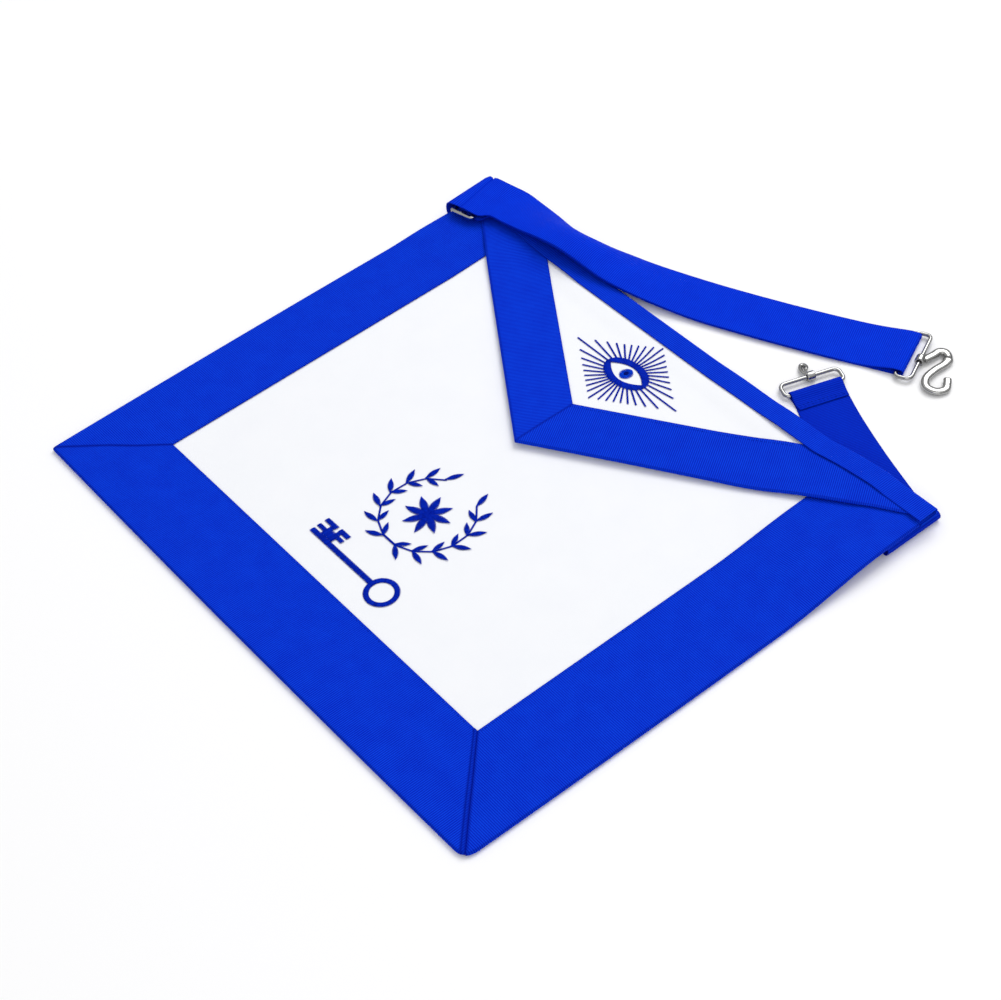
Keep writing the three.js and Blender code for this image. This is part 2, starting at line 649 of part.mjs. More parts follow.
// Wire bent to a rounded rectangle between two bars, the first bar on the Y axis
const cornerSteps = 4;
function wireFrame(inside) {
  const halfLong = (inside + wireThick) / 2;
  const route = [];
  [[1, 1], [0, 1], [0, -1], [1, -1]].forEach(([far, side], corner) => {
    const centre = new THREE.Vector2(
      far ? frameDepth - frameCorner : frameCorner, side * (halfLong - frameCorner));
    for (let step = 0; step <= cornerSteps; step += 1) {
      const angle = (Math.PI / 2) * (corner + step / cornerSteps);
      const out = new THREE.Vector2(Math.cos(angle), Math.sin(angle));
      route.push({ point: centre.clone().addScaledVector(out, frameCorner), out });
    }
  });
  const around = route.length;
  const tube = wireThick / 2;
  const geometry = new THREE.TorusGeometry(10, tube, 10, around);
  const { position } = geometry.attributes;
  for (let i = 0; i < position.count; i += 1) {
    const radial = Math.hypot(position.getX(i), position.getY(i)) - 10;
    const turn = (Math.atan2(position.getY(i), position.getX(i)) / (2 * Math.PI)) * around;
    const { point, out } = route[(Math.round(turn) + around) % around];
    position.setXYZ(i, point.x + out.x * radial, point.y + out.y * radial, position.getZ(i));
  }
  return geometry;
}

// Round collar of a hook about its bar, open for the wire
function collarSolids(point, heading) {
  const boreRadius = wireThick / 2 + wireGap;
  const outerRadius = boreRadius + collarWall;
  const outer = new THREE.CylinderGeometry(outerRadius, outerRadius, collarLength, 14);
  const bore = new THREE.CylinderGeometry(boreRadius, boreRadius, collarLength + 8, 14);
  return [solidOf(settle(outer, point, heading)), solidOf(settle(bore, point, heading))];
}

// Flat cast bar along a route in its own plane, from the collar outwards
function castBar(route, reach, wide, thick) {
  const curve = new THREE.CatmullRomCurve3(route.map(({ out, aside }) => (
    new THREE.Vector3(out * reach, aside * reach, 0))), false, 'centripetal');
  const section = new THREE.Shape();
  section.absellipse(0, 0, thick / 2, wide / 2, 0, 2 * Math.PI, false, 0);
  return new THREE.ExtrudeGeometry(section, {
    steps: route.length * 3, curveSegments: 5, extrudePath: curve, bevelEnabled: false,
  });
}

// Routes of the two hooks as shares of their reach: out from the bar, aside along it
const snakeRoute = [
  { out: 0.095, aside: 0.05 },
  { out: 0.25, aside: 0.30 },
  { out: 0.34, aside: 0.48 },
  { out: 0.50, aside: 0.52 },
  { out: 0.63, aside: 0.36 },
  { out: 0.61, aside: 0.12 },
  { out: 0.45, aside: -0.20 },
  { out: 0.34, aside: -0.58 },
  { out: 0.45, aside: -0.85 },
  { out: 0.70, aside: -0.90 },
  { out: 0.90, aside: -0.74 },
  { out: 0.88, aside: -0.52 },
  { out: 0.84, aside: -0.38 },
];
const eyeRoute = [
  { out: 0.15, aside: 0.10 },
  { out: 0.38, aside: 0.20 },
  { out: 0.68, aside: 0.17 },
  { out: 0.90, aside: -0.03 },
  { out: 0.88, aside: -0.26 },
  { out: 0.66, aside: -0.31 },
  { out: 0.53, aside: -0.17 },
];
const collarHigh = wireThick / 2 + wireGap + collarWall + 0.05;
const framePitch = -THREE.MathUtils.radToDeg(Math.asin((collarHigh - barHigh) / frameDepth));

function addHookSet(names, bar, heading, cast) {
  const along = turned(new THREE.Vector2(1, 0), heading);
  const across = turned(new THREE.Vector2(0, 1), heading);
  const nearBar = spot(bar, along, across, 0, cast.slide);
  const frame = settle(wireFrame(cast.inside), lift3(nearBar, barHigh), heading, framePitch);
  addPiece(names.frame, solidOf(frame), nickel);
  const farBar = spot(nearBar, along, across, frameDepth, cast.aside);
  const collarSpot = lift3(farBar, collarHigh);
  const [outer, bore] = collarSolids(collarSpot, heading);
  const pitch = THREE.MathUtils.radToDeg(Math.asin((collarHigh - cast.thick / 2 - 0.1) / cast.reach));
  const castShape = castBar(cast.route, cast.reach, cast.wide, cast.thick);
  const bodyBar = solidOf(settle(castShape, collarSpot, heading, pitch));
  addPiece(names.hook, outer.add(bodyBar).subtract(bore), nickel);
}

function addHooks() {
  addHookSet({ frame: 'hook_frame', hook: 'snake_hook' }, hookBar, hookHeading, {
    route: snakeRoute, reach: hookLength, wide: hookWide, thick: hookThick, aside: hookAside,
    inside: hookInside, slide: hookSlide,
  });
  addHookSet({ frame: 'eye_frame', hook: 'eye_hook' }, shortBar, shortHeading, {
    route: eyeRoute, reach: eyeLength, wide: eyeWide, thick: eyeThick, aside: -eyeAside,
    inside: eyeInside, slide: 0,
  });
}

// Flat slider with two slots either side of a middle bar
function roundedRectangle(centreX, centreY, long, wide, radius) {
  const path = new THREE.Path();
  [[1, 1, 0], [-1, 1, 1], [-1, -1, 2], [1, -1, 3]].forEach(([sideX, sideY, quarter]) => {
    path.absarc(centreX + sideX * (long / 2 - radius), centreY + sideY * (wide / 2 - radius), radius,
      (quarter * Math.PI) / 2, ((quarter + 1) * Math.PI) / 2);
  });
  return path.getPoints(3);
}

function addSlider() {
  const slot = (sliderLength - 3 * sliderStrip) / 2;
  const shape = new THREE.Shape(roundedRectangle(0, 0, sliderLength, sliderWidth, 3));
  [-1, 1].forEach((side) => shape.holes.push(new THREE.Path(roundedRectangle(
    side * (slot + sliderStrip) / 2, 0, slot, sliderWidth - 2 * sliderStrip, 1))));
  const geometry = new THREE.ExtrudeGeometry(shape, { depth: sliderThick, bevelEnabled: false });
  const place = spot(beltStart, sliderAlong, sliderAcross, sliderPlace.x, sliderPlace.y);
  addPiece('slider', solidOf(settle(geometry, lift3(place, sliderLow), sliderHeading)), nickel);
}

// Embroidery: raised pads of satin stitch that follow the cloth
function pad(outlines, surface) {
  const low = above(surface, layerGap);
  const flat = outlines.map((outline) => prism(outline)).reduce((sum, solid) => sum.add(solid));
  return flat.intersect(slab(low, above(low, threadHigh)));
}

function ellipsePoints(centre, radiusX, radiusY, count, from = 0) {
  return Array.from({ length: count }, (unused, step) => {
    const angle = from + (step / count) * 2 * Math.PI;
    return new THREE.Vector2(centre.x + radiusX * Math.cos(angle), centre.y + radiusY * Math.sin(angle));
  });
}

// Pointed oval between two arcs
function almond(centre, long, high, count = 8) {
  const upper = Array.from({ length: count }, (unused, step) => {
    const share = -1 + (2 * step) / count;
    return new THREE.Vector2(centre.x - share * long, centre.y + high * (1 - share * share));
  });
  const lower = upper.map((point) => new THREE.Vector2(2 * centre.x - point.x, 2 * centre.y - point.y));
  return [...upper, ...lower];
}

function barOutline(from, to, wide) {
  const along = to.clone().sub(from).normalize();
  const side = new THREE.Vector2(-along.y, along.x).multiplyScalar(wide / 2);
  return [from.clone().sub(side), to.clone().sub(side), to.clone().add(side), from.clone().add(side)];
}

// Rays from the eye out to a rhombus
function rays() {
  return Array.from({ length: rayCount }, (unused, step) => {
    const angle = (step / rayCount) * 2 * Math.PI;
    const out = new THREE.Vector2(Math.cos(angle), Math.sin(angle));
    const reach = 1 / (Math.abs(out.x) / rayReachX + Math.abs(out.y) / rayReachY);
    const tip = eyeSpot.clone().addScaledVector(out, reach);
    const start = 1 / Math.hypot(out.x / (eyeLong - 2), out.y / (eyeHigh - 2));
    const root = eyeSpot.clone().addScaledVector(out, start);
    return barOutline(root, tip, rayWide);
  });
}

function addEye() {
  const ring = pad([ellipsePoints(eyeSpot, eyeLong, eyeHigh, 24), ...rays()], flapPanelTop);
  const opening = prism(almond(eyeSpot, eyeLong * 0.8, eyeHigh * 0.55));
  addPiece('eye_rays', ring.subtract(opening), threadBlue);
  const iris = ellipsePoints(eyeSpot, irisSize / 2, irisSize / 2, 16);
  addPiece('eye_iris', pad([iris], flapPanelTop), threadBlue);
}

// Key lying along X: bow at the right, bit standing up at the left
function addKey() {
  const at = (x, y) => new THREE.Vector2(keySpot.x + x * keyLength, keySpot.y + y * keyLength);
  const bar = (x0, y0, x1, y1, wide) => barOutline(at(x0, y0), at(x1, y1), wide * keyLength);
  const bowMiddle = at(0.5, 0).add(new THREE.Vector2(-keyBow / 2, 0));
  const bow = ellipsePoints(bowMiddle, keyBow / 2, keyBow / 2, 24);
  const hole = ellipsePoints(bowMiddle, keyBow / 2 - 3.8, keyBow / 2 - 3.8, 20);
  const solid = pad([bow], panelTop).subtract(prism(hole));
  const rest = pad([
    bar(-0.5, 0, 0.3, 0, keyStem / keyLength),
    bar(-0.42, 0.06, -0.29, 0.06, 0.10),
    bar(-0.5, 0.065, -0.42, 0.065, 0.045),
    bar(-0.5, 0.14, -0.37, 0.14, 0.05),
    bar(-0.40, 0.12, -0.40, 0.06, 0.05),
    bar(-0.34, 0.145, -0.23, 0.145, 0.05),
    bar(-0.30, 0.085, -0.23, 0.085, 0.045),
    bar(-0.32, 0.13, -0.32, 0.06, 0.05),
  ], panelTop);
  addPiece('key_motif', solid.add(rest), threadBlue);
}

// Rosette of eight petals in a wreath of two leafy sprigs
const petalCount = 8;
const leafPairs = 6;

function leaf(root, heading, long, wide, count = 4) {
  const along = turned(new THREE.Vector2(1, 0), heading);
  const across = turned(new THREE.Vector2(0, 1), heading);
  return almond(new THREE.Vector2(0, 0), long / 2, wide / 2, count).map((point) => (
    spot(root, along, across, point.x + long / 2, point.y)));
}

function addWreath() {
  const petals = Array.from({ length: petalCount }, (unused, step) => (
    leaf(wreathSpot, (step / petalCount) * 360 + 22.5, wreathSize * 0.2, wreathSize * 0.075)));
  const hub = ellipsePoints(wreathSpot, wreathSize * 0.045, wreathSize * 0.045, 14);
  addPiece('rosette', pad([...petals, hub], panelTop), threadBlue);
  const radius = wreathSize * 0.39;
  const outlines = [];
  [-1, 1].forEach((side) => {
    for (let step = 0; step <= leafPairs; step += 1) {
      const angle = -90 + side * (10 + (140 * step) / leafPairs);
      const root = wreathSpot.clone().add(turned(new THREE.Vector2(radius, 0), angle));
      const reach = turned(new THREE.Vector2(radius, 0), angle + side * (150 / leafPairs));
      const next = wreathSpot.clone().add(reach);
      if (step < leafPairs) outlines.push(barOutline(root, next, wreathSize * 0.018));
      const growth = angle + side * 90;
      outlines.push(leaf(root, growth - side * 42, wreathSize * 0.15, wreathSize * 0.055));
      const inner = leaf(root, growth + side * 42, wreathSize * 0.13, wreathSize * 0.05);
      if (step < leafPairs) outlines.push(inner);
    }
  });
  outlines.push(barOutline(
    wreathSpot.clone().add(turned(new THREE.Vector2(radius, 0), -102)),
    wreathSpot.clone().add(turned(new THREE.Vector2(radius, 0), -78)), wreathSize * 0.022));
  addPiece('wreath', pad(outlines, panelTop), threadBlue);
}

addBody();
addFlap();
addWaistBand();
addShortStrap();
addLongStrap();
addSlider();
addHooks();
addEye();
addKey();
addWreath();

export default apron;
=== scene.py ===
# Lodge apron lying flat: white cloth, royal blue ribbon, embroidery in blue thread and nickel clasps.
# Lengths in the tables and functions are in millimetres; a mesh is brought to metres as it is finished.
import math
import random

import bmesh
import bpy
from mathutils import Matrix, Vector


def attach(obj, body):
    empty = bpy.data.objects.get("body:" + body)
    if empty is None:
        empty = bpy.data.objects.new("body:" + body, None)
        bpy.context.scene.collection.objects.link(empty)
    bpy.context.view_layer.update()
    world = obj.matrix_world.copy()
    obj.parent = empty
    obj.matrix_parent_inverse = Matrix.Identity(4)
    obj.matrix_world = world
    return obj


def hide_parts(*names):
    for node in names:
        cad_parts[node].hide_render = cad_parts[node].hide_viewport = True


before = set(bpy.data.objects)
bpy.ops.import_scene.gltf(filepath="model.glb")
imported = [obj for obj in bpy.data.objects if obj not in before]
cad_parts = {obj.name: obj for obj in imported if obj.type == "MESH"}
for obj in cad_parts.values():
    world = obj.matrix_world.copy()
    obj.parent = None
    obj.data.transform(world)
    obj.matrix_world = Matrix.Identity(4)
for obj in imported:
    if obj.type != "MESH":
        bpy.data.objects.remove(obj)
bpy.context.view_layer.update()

METRE = 0.001
RIBBON_WALL = 1.0
RIBBON_SHOWN = 0.6
PANEL_WALL = 1.2
RIB_PITCH = 1.28
LAYER_GAP = 0.25
LAYER_RISE = RIBBON_WALL + LAYER_GAP

# Body
BODY_WIDE = 407.5
BODY_HIGH = 350.0
BODY_FLARE = 4.2
SIDE_BOW = 1.2
LEFT_CORNER_ROUND = 1.2
RIGHT_CORNER_ROUND = 9.0
HALF_WIDE = BODY_WIDE / 2
HALF_HIGH = BODY_HIGH / 2
SIDE_SLOPE = BODY_FLARE / BODY_HIGH
BORDER_LEFT = 51.0
BORDER_BOTTOM = 57.5
BORDER_RIGHT = 61.5
BACK_TURN = 18.0
MITRE_LAP = 0.05
RIDGE_WIDE = 2.5
RIDGE_HIGH = 0.45
# Painted shade lines at the mitres and beside the mitre's ridge: their slope and their darkest start
RIDGE_DARK = 0.4
MITRE_SHADE = 0.7
MITRE_DARK = 0.6
FLAP_MITRE_DARK = 0.3

# Flap and waist band
FLAP_DROP = 139.5
FLAP_ASIDE = -8.0
FLAP_LEFT_SHOULDER = 1.5
FLAP_RIGHT_SHOULDER = 5.5
FLAP_BORDER_LEFT = 38.8
FLAP_BORDER_RIGHT = 41.5
FLAP_SPRING = 2.4
FLAP_BOW_OUTER = 3.0
FLAP_BOW_INNER = 1.9
FLAP_SAG = 3.4
BAND_FRONT = 15.5
BAND_BACK = 14.0

# Straps
STRAP_WIDE = 38.1
BELT_END_WIDE = 36.9
SHORT_END_WIDE = 34.8
BELT_START = Vector((5.45 - HALF_WIDE, HALF_HIGH - 9.6, 0))
BELT_REACH = 312.5
BELT_HEADING = 18.8
BELT_SEWN_LEG = 18.0
BELT_BACK = -8
BELT_TURN = -10
SHORT_FOLD_FAR = Vector((HALF_WIDE + 2.45, HALF_HIGH + 3, 0))
SHORT_FOLD_NEAR = Vector((HALF_WIDE + 1.65, HALF_HIGH - 40, 0))
SHORT_LOOP = Vector((HALF_WIDE - 124.65, HALF_HIGH + 28.4, 0))
SHORT_HEADING = 160.6
SHORT_BOW = 2.8
SHORT_SEWN_LEG = 24.0
RUN_GAP = 0.9
CORNER_RISE = 7.4
HEM_LEG = 12.5
HEM_WIDE = 33.3

# Metal
WIRE_THICK = 2.7
WIRE_GAP = 0.3
HOOK_INSIDE = 39.8
EYE_INSIDE = 37.2
HOOK_SLIDE = -0.8
FRAME_DEPTH = 10.4
FRAME_CORNER = 3.8
BAR_CORNER = 3.0
COLLAR_WALL = 1.5
COLLAR_LONG = 5.2
HOOK_SETBACK = 2.2
HOOK_HEADING = 24.2
SNAKE_REACH = 24.6
SNAKE_ASIDE = -2.2
SNAKE_WIDE = 5.3
SNAKE_THICK = 3.4
EYE_HOOK_REACH = 13.7
EYE_HOOK_ASIDE = -1.6
EYE_HOOK_WIDE = 2.4
EYE_HOOK_THICK = 2.3
KNUCKLE_PLACE = 0.37
KNUCKLE_SWELL = 0.28
KNUCKLE_SPREAD = 0.025
SLIDER_LONG = 19.0
SLIDER_STRIP = 3.0
SLIDER_THICK = 1.6
SLIDER_HEADING = 13.0
SLIDER_PLACE = 2.8
SLIDER_SLIP = -1.6
SLIDER_SHOWN = 1.25
SLIDER_NARROWING = 0.12
SLIDER_EDGE = 0.35

# Embroidery
EYE_SPOT = Vector((-7.4, HALF_HIGH - 48.8, 0))
EYE_LONG = 17.6
EYE_HIGH = 11.6
IRIS_SIZE = 9.4
PUPIL_SIZE = 3.4
RAY_COUNT = 36
RAY_REACH_X = 45.5
RAY_REACH_Y = 31.5
RAY_WIDE = 1.35
KEY_SPOT = Vector((1.1, 79.4 - HALF_HIGH, 0))
KEY_LONG = 78.2
KEY_STEM = 4.4
KEY_BOW = 22.2
KEY_RING = 3.8
WREATH_SPOT = Vector((0, -38.5, 0))
WREATH_SIZE = 76.0
STITCH_PITCH = 0.44
THREAD_WIDE = 0.5

shake = random.Random(7)
UP = Vector((0, 0, 1))
DOWN = Vector((0, 0, -1))
TO_WAIST = Vector((0, 1, 0))
TO_RIGHT = Vector((1, 0, 0))


def heading(degrees):
    angle = math.radians(degrees)
    return Vector((math.cos(angle), math.sin(angle), 0))


def left_of(along):
    return Vector((-along.y, along.x, 0))


def share_of(value, start, end):
    return min(max((value - start) / (end - start), 0.0), 1.0)


def eased(value, start, end):
    share = share_of(value, start, end)
    return share * share * (3 - 2 * share)


def side_at(y):
    return HALF_WIDE + SIDE_SLOPE * y


# Materials

WARP_PITCH = 0.55
WEAVE_PITCH = 0.5
SHEEN_TINT = (0.02, 0.3, 1.0, 1)


def tool(owner, kind, **values):
    """Adds a shader node and sets its properties and sockets by name."""
    node = owner.node_tree.nodes.new(kind)
    for name, value in values.items():
        if hasattr(node, name):
            setattr(node, name, value)
        else:
            node.inputs[name.replace("_", " ")].default_value = value
    return node


def link(owner, output, node, socket):
    owner.node_tree.links.new(output, node.inputs[socket])


def new_material(name, colour, **finish):
    """Material whose shader has one colour and the given values on its own sockets."""
    material = bpy.data.materials.new(name)
    material.use_nodes = True
    shader = material.node_tree.nodes["Principled BSDF"]
    shader.inputs["Base Color"].default_value = (*colour, 1)
    for socket, value in finish.items():
        shader.inputs[socket.replace("_", " ")].default_value = value
    return material, shader


def flat_place(material):
    return tool(material, "ShaderNodeUVMap", uv_map="cloth").outputs["UV"]


def object_place(material):
    return tool(material, "ShaderNodeTexCoord").outputs["Object"]


def noise(material, place, scale, detail, roughness=0.5):
    node = tool(material, "ShaderNodeTexNoise", Scale=scale, Detail=detail, Roughness=roughness)
    link(material, place, node, "Vector")
    return node.outputs["Fac"]


def ribs(material, place, pitch, direction, distortion):
    """Wave whose bands repeat at a pitch in the units of the place."""
    node = tool(material, "ShaderNodeTexWave", bands_direction=direction, Scale=2 * math.pi / 20 / pitch,
                Distortion=distortion, Detail=1.5, Detail_Scale=2.0)
    link(material, place, node, "Vector")
    return node.outputs["Fac"]


def attribute(material, name):
    return tool(material, "ShaderNodeAttribute", attribute_name=name).outputs["Fac"]


def colour_mix(material, share, first, second):
    """Blend of two colours, the first of which may come out of another node."""
    node = tool(material, "ShaderNodeMix", data_type="RGBA")
    link(material, share, node, 0)
    if isinstance(first, tuple):
        node.inputs[6].default_value = (*first, 1)
    else:
        link(material, first, node, 6)
    node.inputs[7].default_value = (*second, 1)
    return node.outputs[2]


def new_range(material, value, low, high, start=0.0, end=1.0):
    """Value brought from the range of start to end to that of low to high."""
    node = tool(material, "ShaderNodeMapRange", From_Min=start, From_Max=end, To_Min=low, To_Max=high)
    link(material, value, node, "Value")
    return node.outputs["Result"]


def times_plus(material, value, factor, added):
    node = tool(material, "ShaderNodeMath", operation="MULTIPLY_ADD")
    link(material, value, node, 0)
    node.inputs[1].default_value = factor
    link(material, added, node, 2)
    return node.outputs["Value"]


def product(material, first, second):
    node = tool(material, "ShaderNodeMath", operation="MULTIPLY")
    link(material, first, node, 0)
    link(material, second, node, 1)
    return node.outputs["Value"]


def relief(material, shader, height, strength, depth):
    bump = tool(material, "ShaderNodeBump", Strength=strength, Distance=depth)
    link(material, height, bump, "Height")
    link(material, bump.outputs["Normal"], shader, "Normal")


def grosgrain(name, dark, light, sheen):
    """Ribbed ribbon: cross ribs, fine warp threads, cloudy dye, darker towards its edges, and painted shade
    along its crease and mitre lines.
    """
    material, shader = new_material(name, light, Roughness=0.62, Specular_IOR_Level=0.02, Sheen_Weight=sheen,
                                    Sheen_Roughness=0.5, Sheen_Tint=SHEEN_TINT)
    place = flat_place(material)
    cross = ribs(material, place, RIB_PITCH, "X", 0.35)
    warp = ribs(material, place, WARP_PITCH, "Y", 0.8)
    cloud = noise(material, place, 0.07, 4.0, 0.62)
    fleck = noise(material, place, 0.9, 2.0)
    cloudy = new_range(material, cloud, 0.0, 0.14, 0.32, 0.68)
    tone = times_plus(material, fleck, 0.1, times_plus(material, cross, 0.78, cloudy))
    dye = colour_mix(material, tone, dark, light)
    # Darker towards the ribbon's edges, with painted shade along the creases of its rolled edge, in the mitre
    # gaps and beside the mitre's ridge
    rim = new_range(material, attribute(material, "dark_edges_and_painted_shade"), 0.85, 0.0, -0.6, 0.85)
    edge_and_shade_colour = tuple(0.6 * part for part in dark)
    link(material, colour_mix(material, rim, dye, edge_and_shade_colour), shader, "Base Color")
    link(material, new_range(material, cloud, 0.55, 0.72), shader, "Roughness")
    relief(material, shader, times_plus(material, warp, 0.28, cross), 0.6, 0.00025)
    return material


def white_cloth():
    """Smooth cloth with a faint grain and slight unevenness of tone."""
    material, shader = new_material("white_cloth", (0.9, 0.92, 0.96), Roughness=0.7, Sheen_Weight=0.08,
                                    Specular_IOR_Level=0.15)
    place = flat_place(material)
    tone = noise(material, place, 0.035, 3.0, 0.6)
    shade = colour_mix(material, tone, (0.835, 0.85, 0.89), (0.88, 0.89, 0.915))
    link(material, shade, shader, "Base Color")
    weft = ribs(material, place, WEAVE_PITCH, "X", 1.5)
    warp = ribs(material, place, WEAVE_PITCH, "Y", 1.5)
    grain = noise(material, place, 1.1, 5.0, 0.7)
    height = times_plus(material, product(material, weft, warp), 0.5, grain)
    relief(material, shader, height, 0.35, 0.00012)
    return material


def satin_thread(name, dark, light):
    """Embroidery thread: each stitch has its own tone, and fine twist lines."""
    material, shader = new_material(name, light, Roughness=0.42, Specular_IOR_Level=0.02)
    dye = colour_mix(material, attribute(material, "tone"), dark, light)
    link(material, dye, shader, "Base Color")
    twist = noise(material, object_place(material), 3500.0, 2.0)
    relief(material, shader, twist, 0.3, 0.00008)
    return material


def nickel_plate():
    """Polished nickel plate with soft casting waves and faint handling marks."""
    material, shader = new_material("nickel_plate", (0.45, 0.45, 0.44), Roughness=0.2, Metallic=1.0)
    place = object_place(material)
    haze = noise(material, place, 260.0, 4.0, 0.6)
    link(material, new_range(material, haze, 0.09, 0.22, 0.3, 0.7), shader, "Roughness")
    tint = colour_mix(material, haze, (0.3, 0.3, 0.3), (0.46, 0.46, 0.45))
    link(material, tint, shader, "Base Color")
    relief(material, shader, noise(material, place, 420.0, 1.0), 0.25, 0.0002)
    return material


ribbon = grosgrain("royal_ribbon", (0.0001, 0.007, 0.42), (0.003, 0.058, 0.76), 0.0)
# The belt's ribbon is a lighter copy and the short strap's a darker copy of the royal ribbon: painted light
# and painted shade for how each lies to the light
belt_ribbon_painted_lighter = grosgrain("belt_ribbon_painted_lighter", (0.0001, 0.011, 0.47), (0.002, 0.05, 0.79), 0.0)
short_ribbon_painted_darker = grosgrain("short_ribbon_painted_darker", (0.0002, 0.009, 0.38), (0.0012, 0.032, 0.58), 0.01)
cloth = white_cloth()
navy_thread = satin_thread("navy_thread", (0.0004, 0.009, 0.3), (0.001, 0.024, 0.5))
pupil_thread = satin_thread("pupil_thread", (0.0003, 0.004, 0.13), (0.0006, 0.008, 0.22))
blue_thread = satin_thread("blue_thread", (0.001, 0.03, 0.46), (0.002, 0.06, 0.72))
seam_thread = satin_thread("seam_thread", (0.0005, 0.01, 0.33), (0.0015, 0.035, 0.62))
nickel = nickel_plate()


# Making of pieces

SOFT_RIM = 0.28
RIM_ANGLE = 55
# Distance given to cloth far from any darkened edge and painted shade line
CLEAR_OF_DARK_LINES = 9.0


def into_scene(name, data):
    thing = bpy.data.objects.new(name, data)
    bpy.context.scene.collection.objects.link(thing)
    return thing


def finish_piece(name, bm, materials, body, node):
    """Brings a mesh to metres, smooths it and lets it ride on its body in place of its solid."""
    bmesh.ops.scale(bm, vec=(METRE, METRE, METRE), verts=bm.verts)
    mesh = bpy.data.meshes.new(name)
    bm.to_mesh(mesh)
    bm.free()
    mesh.shade_smooth()
    for material in materials:
        mesh.materials.append(material)
    piece = into_scene(name, mesh)
    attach(piece, body)
    if node:
        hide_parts(node)
    return piece


def even(count):
    return [step / count for step in range(count + 1)]


def spaced(stops, counts):
    """Values from stop to stop, evenly spaced between two of them."""
    found = [stops[0]]
    for start, end, count in zip(stops, stops[1:], counts):
        found += [start + (end - start) * (step + 1) / count for step in range(count)]
    return found


def laid_grid(columns, rows, place):
    """Grid laid by place(column, row), which gives the point, its flat place and its distance to the darkened
    edges and painted shade lines.
    """
    bm = bmesh.new()
    flat = bm.loops.layers.uv.new("cloth")
    dark_edges_and_painted_shade = bm.verts.layers.float.new("dark_edges_and_painted_shade")
    last_column = len(columns) - 1
    last_row = len(rows) - 1
    bmesh.ops.create_grid(bm, x_segments=last_column, y_segments=last_row, size=0.5)
    spots = {}
    for vert in bm.verts:
        column = columns[round((vert.co.x + 0.5) * last_column)]
        row = rows[round((vert.co.y + 0.5) * last_row)]
        point, spot, edge = place(column, row)
        vert.co = point
        vert[dark_edges_and_painted_shade] = edge
        spots[vert] = spot
    for face in bm.faces:
        for loop in face.loops:
            loop[flat].uv = spots[loop.vert]
    return bm


def cut(bm, point, outward, clear=True):
    """Cuts a mesh at a plane, and clears what lies outside it."""
    everything = bm.verts[:] + bm.edges[:] + bm.faces[:]
    bmesh.ops.bisect_plane(bm, geom=everything, dist=1e-4, plane_co=point, plane_no=outward,
                           clear_outer=clear)


def cloth_piece(name, bm, material, node, wall):
    """Gives a laid grid its thickness and soft edges."""
    piece = finish_piece(name, bm, [material], "apron", node)
    thick = piece.modifiers.new("thickness", "SOLIDIFY")
    thick.thickness = wall * METRE
    thick.offset = 0.0
    rim = piece.modifiers.new("soft_edge", "BEVEL")
    rim.width = SOFT_RIM * wall * METRE
    rim.segments = 2
    rim.limit_method = "ANGLE"
    rim.angle_limit = math.radians(RIM_ANGLE)
    return piece


# Heights of the layers

def distance_to(outline, x, y):
    point = Vector((x, y, 0))
    inside = True
    least = 1e9
    for index, corner in enumerate(outline):
        after = outline[(index + 1) % len(outline)]
        edge = after - corner
        share = min(max((point - corner).dot(edge) / edge.length_squared, 0), 1)
        least = min(least, (corner + edge * share - point).length)
        if edge.x * (y - corner.y) - edge.y * (x - corner.x) < 0:
            inside = False
    return 0.0 if inside else least


def counterclockwise(outline):
    turn = sum(a.x * b.y - a.y * b.x for a, b in zip(outline, outline[1:] + outline[:1]))
    return outline if turn > 0 else outline[::-1]


slider_along = heading(SLIDER_HEADING)
slider_across = left_of(slider_along)
short_along = heading(SHORT_HEADING)
short_across = -left_of(short_along)
fold_across = (SHORT_FOLD_FAR - SHORT_FOLD_NEAR).normalized()
sewn_heading = fold_across * (2 * short_along.dot(fold_across)) - short_along
belt_under = [BELT_START + slider_along * u + slider_across * v * STRAP_WIDE / 2
              for u, v in ((BELT_BACK, -1), (BELT_SEWN_LEG, -1), (BELT_SEWN_LEG, 1), (BELT_BACK, 1))]
short_under = [SHORT_FOLD_NEAR, SHORT_FOLD_FAR, SHORT_LOOP + short_across * STRAP_WIDE / 2,
               SHORT_LOOP - short_across * STRAP_WIDE / 2]
short_sewn = [SHORT_FOLD_NEAR, SHORT_FOLD_FAR, SHORT_FOLD_FAR - sewn_heading * SHORT_SEWN_LEG,
              SHORT_FOLD_NEAR - sewn_heading * SHORT_SEWN_LEG]
# What lifts the cloth: its outline, its height, how far out that stays and how far it then falls
SUPPORTS = [
    (counterclockwise(belt_under), LAYER_RISE, 21, 34),
    (counterclockwise(short_under), LAYER_RISE, 21, 34),
    (counterclockwise(short_sewn), CORNER_RISE, 3, 80),
]
RIM_IN = BACK_TURN + 6
RIM_OUT = BACK_TURN + 20
BAND_IN = BAND_BACK + 4
BAND_OUT = BAND_BACK + 18
STEP = 24
SPRING_IN = 60
SPRING_FROM = 60
BAND_STEP_RIGHT = (70, 92)
BAND_STEP_LEFT = (86, 108)
INNER_LEFT = -HALF_WIDE + BORDER_LEFT
INNER_RIGHT = HALF_WIDE - BORDER_RIGHT
INNER_BOTTOM = -HALF_HIGH + BORDER_BOTTOM


def underlay(x, y):
    """Height of the sheet that lies lowest, over the straps' sewn ends."""
    return max(rise * (1 - eased(distance_to(outline, x, y), margin, margin + slope))
               for outline, rise, margin, slope in SUPPORTS)


